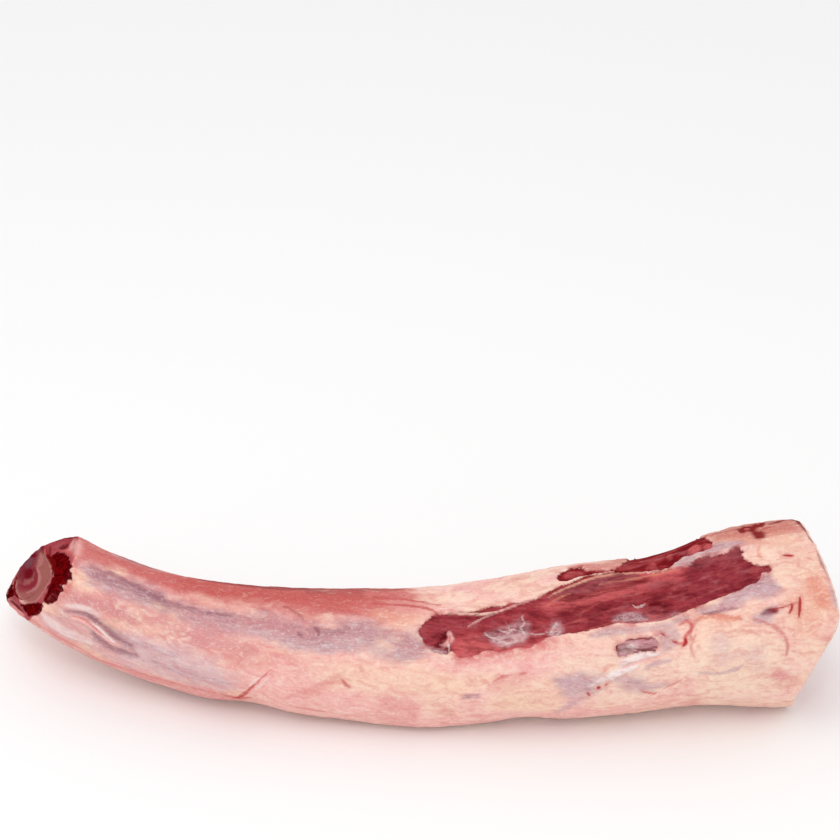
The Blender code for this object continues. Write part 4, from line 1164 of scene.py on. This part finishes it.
    # relief in mm: lobules on fat, fibres on silver skin and lean, a fine grain everywhere
    relief = addNode(tree, "ShaderNodeMath", {0: pattern["fleck"], 1: 0.25}, operation="MULTIPLY")
    for name, depth, mask in (("lobule", -0.45, "fat"), ("cloud", 0.3, "fat"), ("streak", 0.8, "skin"),
                              ("cross", 0.4, "silver"), ("fibre", 0.45, "inLean")):
        part = addNode(tree, "ShaderNodeMath", {0: pattern[name], 1: depth}, operation="MULTIPLY")
        part = addNode(tree, "ShaderNodeMath", {0: part, 1: given[mask]}, operation="MULTIPLY")
        relief = addNode(tree, "ShaderNodeMath", {0: relief, 1: part}, operation="ADD")
    bump = addNode(tree, "ShaderNodeBump", {
        "Strength": fleshLook["grain"], "Distance": 0.001, "Height": relief})
    shiny, dull = fleshLook["roughness"]
    fatRough = addNode(tree, "ShaderNodeMapRange", {0: pattern["fleck"], 1: 0.35, 2: 0.65, 3: shiny, 4: dull})
    silverSmooth = -0.14  # silver skin is smoother than fat by this
    roughness = addNode(tree, "ShaderNodeMath", {0: given["silver"], 1: silverSmooth, 2: fatRough},
                        operation="MULTIPLY_ADD")
    # moisture lies on fat and silver skin, and hardly on the lean, which is dark and dry
    dry = addNode(tree, "ShaderNodeMath", {0: given["inLean"], 1: given["plain"]}, operation="MAXIMUM")
    wet = addNode(tree, "ShaderNodeMapRange", {0: dry, 3: fleshLook["wetness"], 4: 0.0})
    shader = addNode(tree, "ShaderNodeBsdfPrincipled", {
        "Base Color": colour, "Roughness": roughness, "Normal": bump, "Coat Weight": wet,
        "Coat Normal": bump, "IOR": 1.38, "Specular IOR Level": 0.0, "Coat Roughness": 0.22,
        "Coat IOR": 1.4, "Subsurface Weight": fleshLook["lightGoesIn"],
        "Subsurface Radius": (1.0, 0.35, 0.22), "Subsurface Scale": 0.002})
    addNode(tree, "ShaderNodeOutputMaterial", {"Surface": shader})
    return material


flesh.data.materials.append(fleshMaterial())
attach(flesh, "root")
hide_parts("oxtail_flesh")

# Bone: the discs at both cuts
boneLook = {
    "ringSpacing": 1.7,  # mm, growth rings of the cartilage on the wide disc
    "ringHeight": 0.12,
    "wideRadius": 22.5,
    "dome": 0.8,  # mm that the wide disc stands up in its middle
    "ringColour": "E0827E",
    "dullColour": "D8A8A4",
    "wetness": (0.02, 0.25),  # of the narrow and the wide disc
}
bone = fineCopy("oxtail_bone", "oxtailBone", 3)


def dressBone():
    points, normals, place, tipCut, wideCut, seen, atTip = survey(bone)
    flow = np.stack((place["station"], place["side"], place["up"]), 1)
    medium = noiseAt(flow, 4.0, 1.0, 3.0)
    fine = noiseAt(flow, 1.8, 1.0, 7.0)
    calmly = noiseAt(flow, 14.0, 1.0, 23.0)
    wobble = {"patch": 0.5 * medium + 0.5 * fine, "stroke": 0.6 * fine}
    small = newSurface("discTan", len(points))
    for marks, closed in ((discPatches, True), (discStrokes, False)):
        layOn(small, pickedMarks(marks, closed, inPicture), closed, seen, wobble, atTip)
    onDisc = smooth(measured(seen, inPicture(disc, True), True) + 0.5 * fine, -0.5, 0.5)
    layPaint(small["tint"], "tipMeat", (1 - onDisc) * atTip)

    # the wide disc: rings round its middle, white at the rim and in some places
    onWide = place["station"] > 0
    middle = [np.mean(place[name][wideCut > 0.9]) for name in ("side", "up")]
    across = np.stack((place["side"] - middle[0], place["up"] - middle[1]), 1)
    outward = np.hypot(across[:, 0], across[:, 1] * 1.04)  # the disc is a little flat
    inner = np.minimum(outward / boneLook["wideRadius"], 1)
    ring = outward + 4.5 * calmly * (1 - inner) + 1.2 * medium * (1 - inner)
    ring = ring + 1.3 * (1 - inner) * np.sin(2 * np.arctan2(across[:, 1], across[:, 0]) + 0.8)
    white = smooth(outward, 0.80 * boneLook["wideRadius"], 0.95 * boneLook["wideRadius"])
    white = np.maximum(white, 0.8 * smooth(calmly + 0.5 * medium, 0.1, 0.45))
    tint = np.where(onWide[:, None], blended("discPink", "discWhite", white), small["tint"])
    waves = np.sin(ring / boneLook["ringSpacing"] * 2 * np.pi)
    height = np.where(onWide, boneLook["ringHeight"] * waves + boneLook["dome"] * (1 - inner**2),
                      small["height"] + 0.15 * fine)
    height = height * np.maximum(tipCut, wideCut)
    moved = points + normals * (height / 1000)[:, None]
    bone.data.vertices.foreach_set("co", moved.ravel())
    bone.data.update()
    for name, values in (("discTint", np.clip(tint, 0, 1)), ("ring", np.where(onWide, ring, 0)),
                         ("wide", onWide.astype(float)), ("flow", flow)):
        store(bone, name, values)


def boneMaterial():
    # The gristle disc between two tail bones, sliced clean: smooth, wet, waxy, in growth rings
    material, tree = newMaterial("slicedCartilageAndBone")
    given = {}
    for name, socket in (("flow", "Vector"), ("discTint", "Color"), ("ring", "Fac"), ("wide", "Fac")):
        given[name] = addNode(tree, "ShaderNodeAttribute", attribute_name=name).outputs[socket]
    # pores of about 1 mm, which also stir the rings
    grain = addNode(tree, "ShaderNodeTexNoise", {"Scale": 0.9, "Detail": 4.0, "Vector": given["flow"]})
    stirred = addNode(tree, "ShaderNodeMath", {0: grain, 1: 1.6, 2: given["ring"]}, operation="MULTIPLY_ADD")
    turns = addNode(tree, "ShaderNodeMath", {0: stirred, 1: 2 * np.pi / boneLook["ringSpacing"]},
                    operation="MULTIPLY")
    wave = addNode(tree, "ShaderNodeMath", {0: turns}, operation="SINE")
    pink = addNode(tree, "ShaderNodeMapRange", {0: wave, 1: 0.2, 2: 1.0, 3: 0.0, 4: 0.55})
    # the rings come and go round the disc, in stretches of about 8 mm
    patchy = addNode(tree, "ShaderNodeTexNoise", {"Scale": 0.12, "Detail": 2.0, "Vector": given["flow"]})
    patchy = addNode(tree, "ShaderNodeMapRange", {0: patchy, 1: 0.40, 2: 0.62})
    for mask in (patchy, given["wide"]):
        pink = addNode(tree, "ShaderNodeMath", {0: pink, 1: mask}, operation="MULTIPLY")
    colour = addNode(tree, "ShaderNodeMix", {
        0: pink, 6: given["discTint"], 7: linearColour(boneLook["ringColour"])}, data_type="RGBA").outputs[2]
    dull = addNode(tree, "ShaderNodeMapRange", {0: grain, 1: 0.5, 2: 0.7, 3: 0.0, 4: 0.35})
    colour = addNode(tree, "ShaderNodeMix", {0: dull, 6: colour, 7: linearColour(boneLook["dullColour"])},
                     data_type="RGBA", blend_type="MULTIPLY").outputs[2]
    bump = addNode(tree, "ShaderNodeBump", {"Strength": 0.4, "Distance": 0.0006, "Height": grain})
    narrow, wide = boneLook["wetness"]
    wet = addNode(tree, "ShaderNodeMapRange", {0: given["wide"], 3: narrow, 4: wide})
    shader = addNode(tree, "ShaderNodeBsdfPrincipled", {
        "Base Color": colour, "Normal": bump, "Coat Weight": wet, "IOR": 1.38, "Specular IOR Level": 0.0,
        "Roughness": 0.34, "Subsurface Weight": 0.10, "Subsurface Radius": (1.0, 0.5, 0.4),
        "Subsurface Scale": 0.002, "Coat Roughness": 0.2, "Coat IOR": 1.4})
    addNode(tree, "ShaderNodeOutputMaterial", {"Surface": shader})
    return material


dressBone()
bone.data.materials.append(boneMaterial())
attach(bone, "root")
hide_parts("oxtail_bone")
print("bone dressed:", len(bone.data.polygons), "faces")

# Studio: a pale floor and soft light
studio = {
    "floorColour": "F9F9F9",
    "skyColour": "FFFFFF",
    "skyStrength": 0.88,
    "keyPower": 5.0,
    "keySize": 1.2,
    "glintPower": 0.7,  # a small lamp, only for the wet glints
    "glintSize": 0.14,
    "aim": (0, 0, 0.03),
}
bpy.ops.mesh.primitive_plane_add(size=12.0, location=(0, 1.0, 0))
floor = bpy.context.object
floor.name = "studioFloor"
bpy.ops.object.transform_apply(location=True, rotation=True, scale=True)
floorPaint, floorTree = newMaterial("paleStudioPaper")  # matt white paper
floorShader = addNode(floorTree, "ShaderNodeBsdfPrincipled", {
    "Base Color": linearColour(studio["floorColour"]), "Roughness": 0.95, "Specular IOR Level": 0.1})
addNode(floorTree, "ShaderNodeOutputMaterial", {"Surface": floorShader})
floor.data.materials.append(floorPaint)

world = bpy.data.worlds.new("studioSky")
bpy.context.scene.world = world
world.use_nodes = True
sky = world.node_tree.nodes["Background"]
sky.inputs["Color"].default_value = linearColour(studio["skyColour"])
sky.inputs["Strength"].default_value = studio["skyStrength"]


def softLight(name, place, size, power):
    bpy.ops.object.light_add(type="AREA", location=place)
    lamp = bpy.context.object
    lamp.name = name
    lamp.data.size = size
    lamp.data.energy = power
    away = Vector(studio["aim"]) - Vector(place)
    lamp.rotation_euler = away.to_track_quat("-Z", "Y").to_euler()


softLight("keyLight", (-0.4, -0.5, 1.4), studio["keySize"], studio["keyPower"])
softLight("glintLight", (0.0, -0.75, 1.2), studio["glintSize"], studio["glintPower"])
bpy.context.scene.view_settings.view_transform = "Standard"
print("floor, sky and lamps placed")
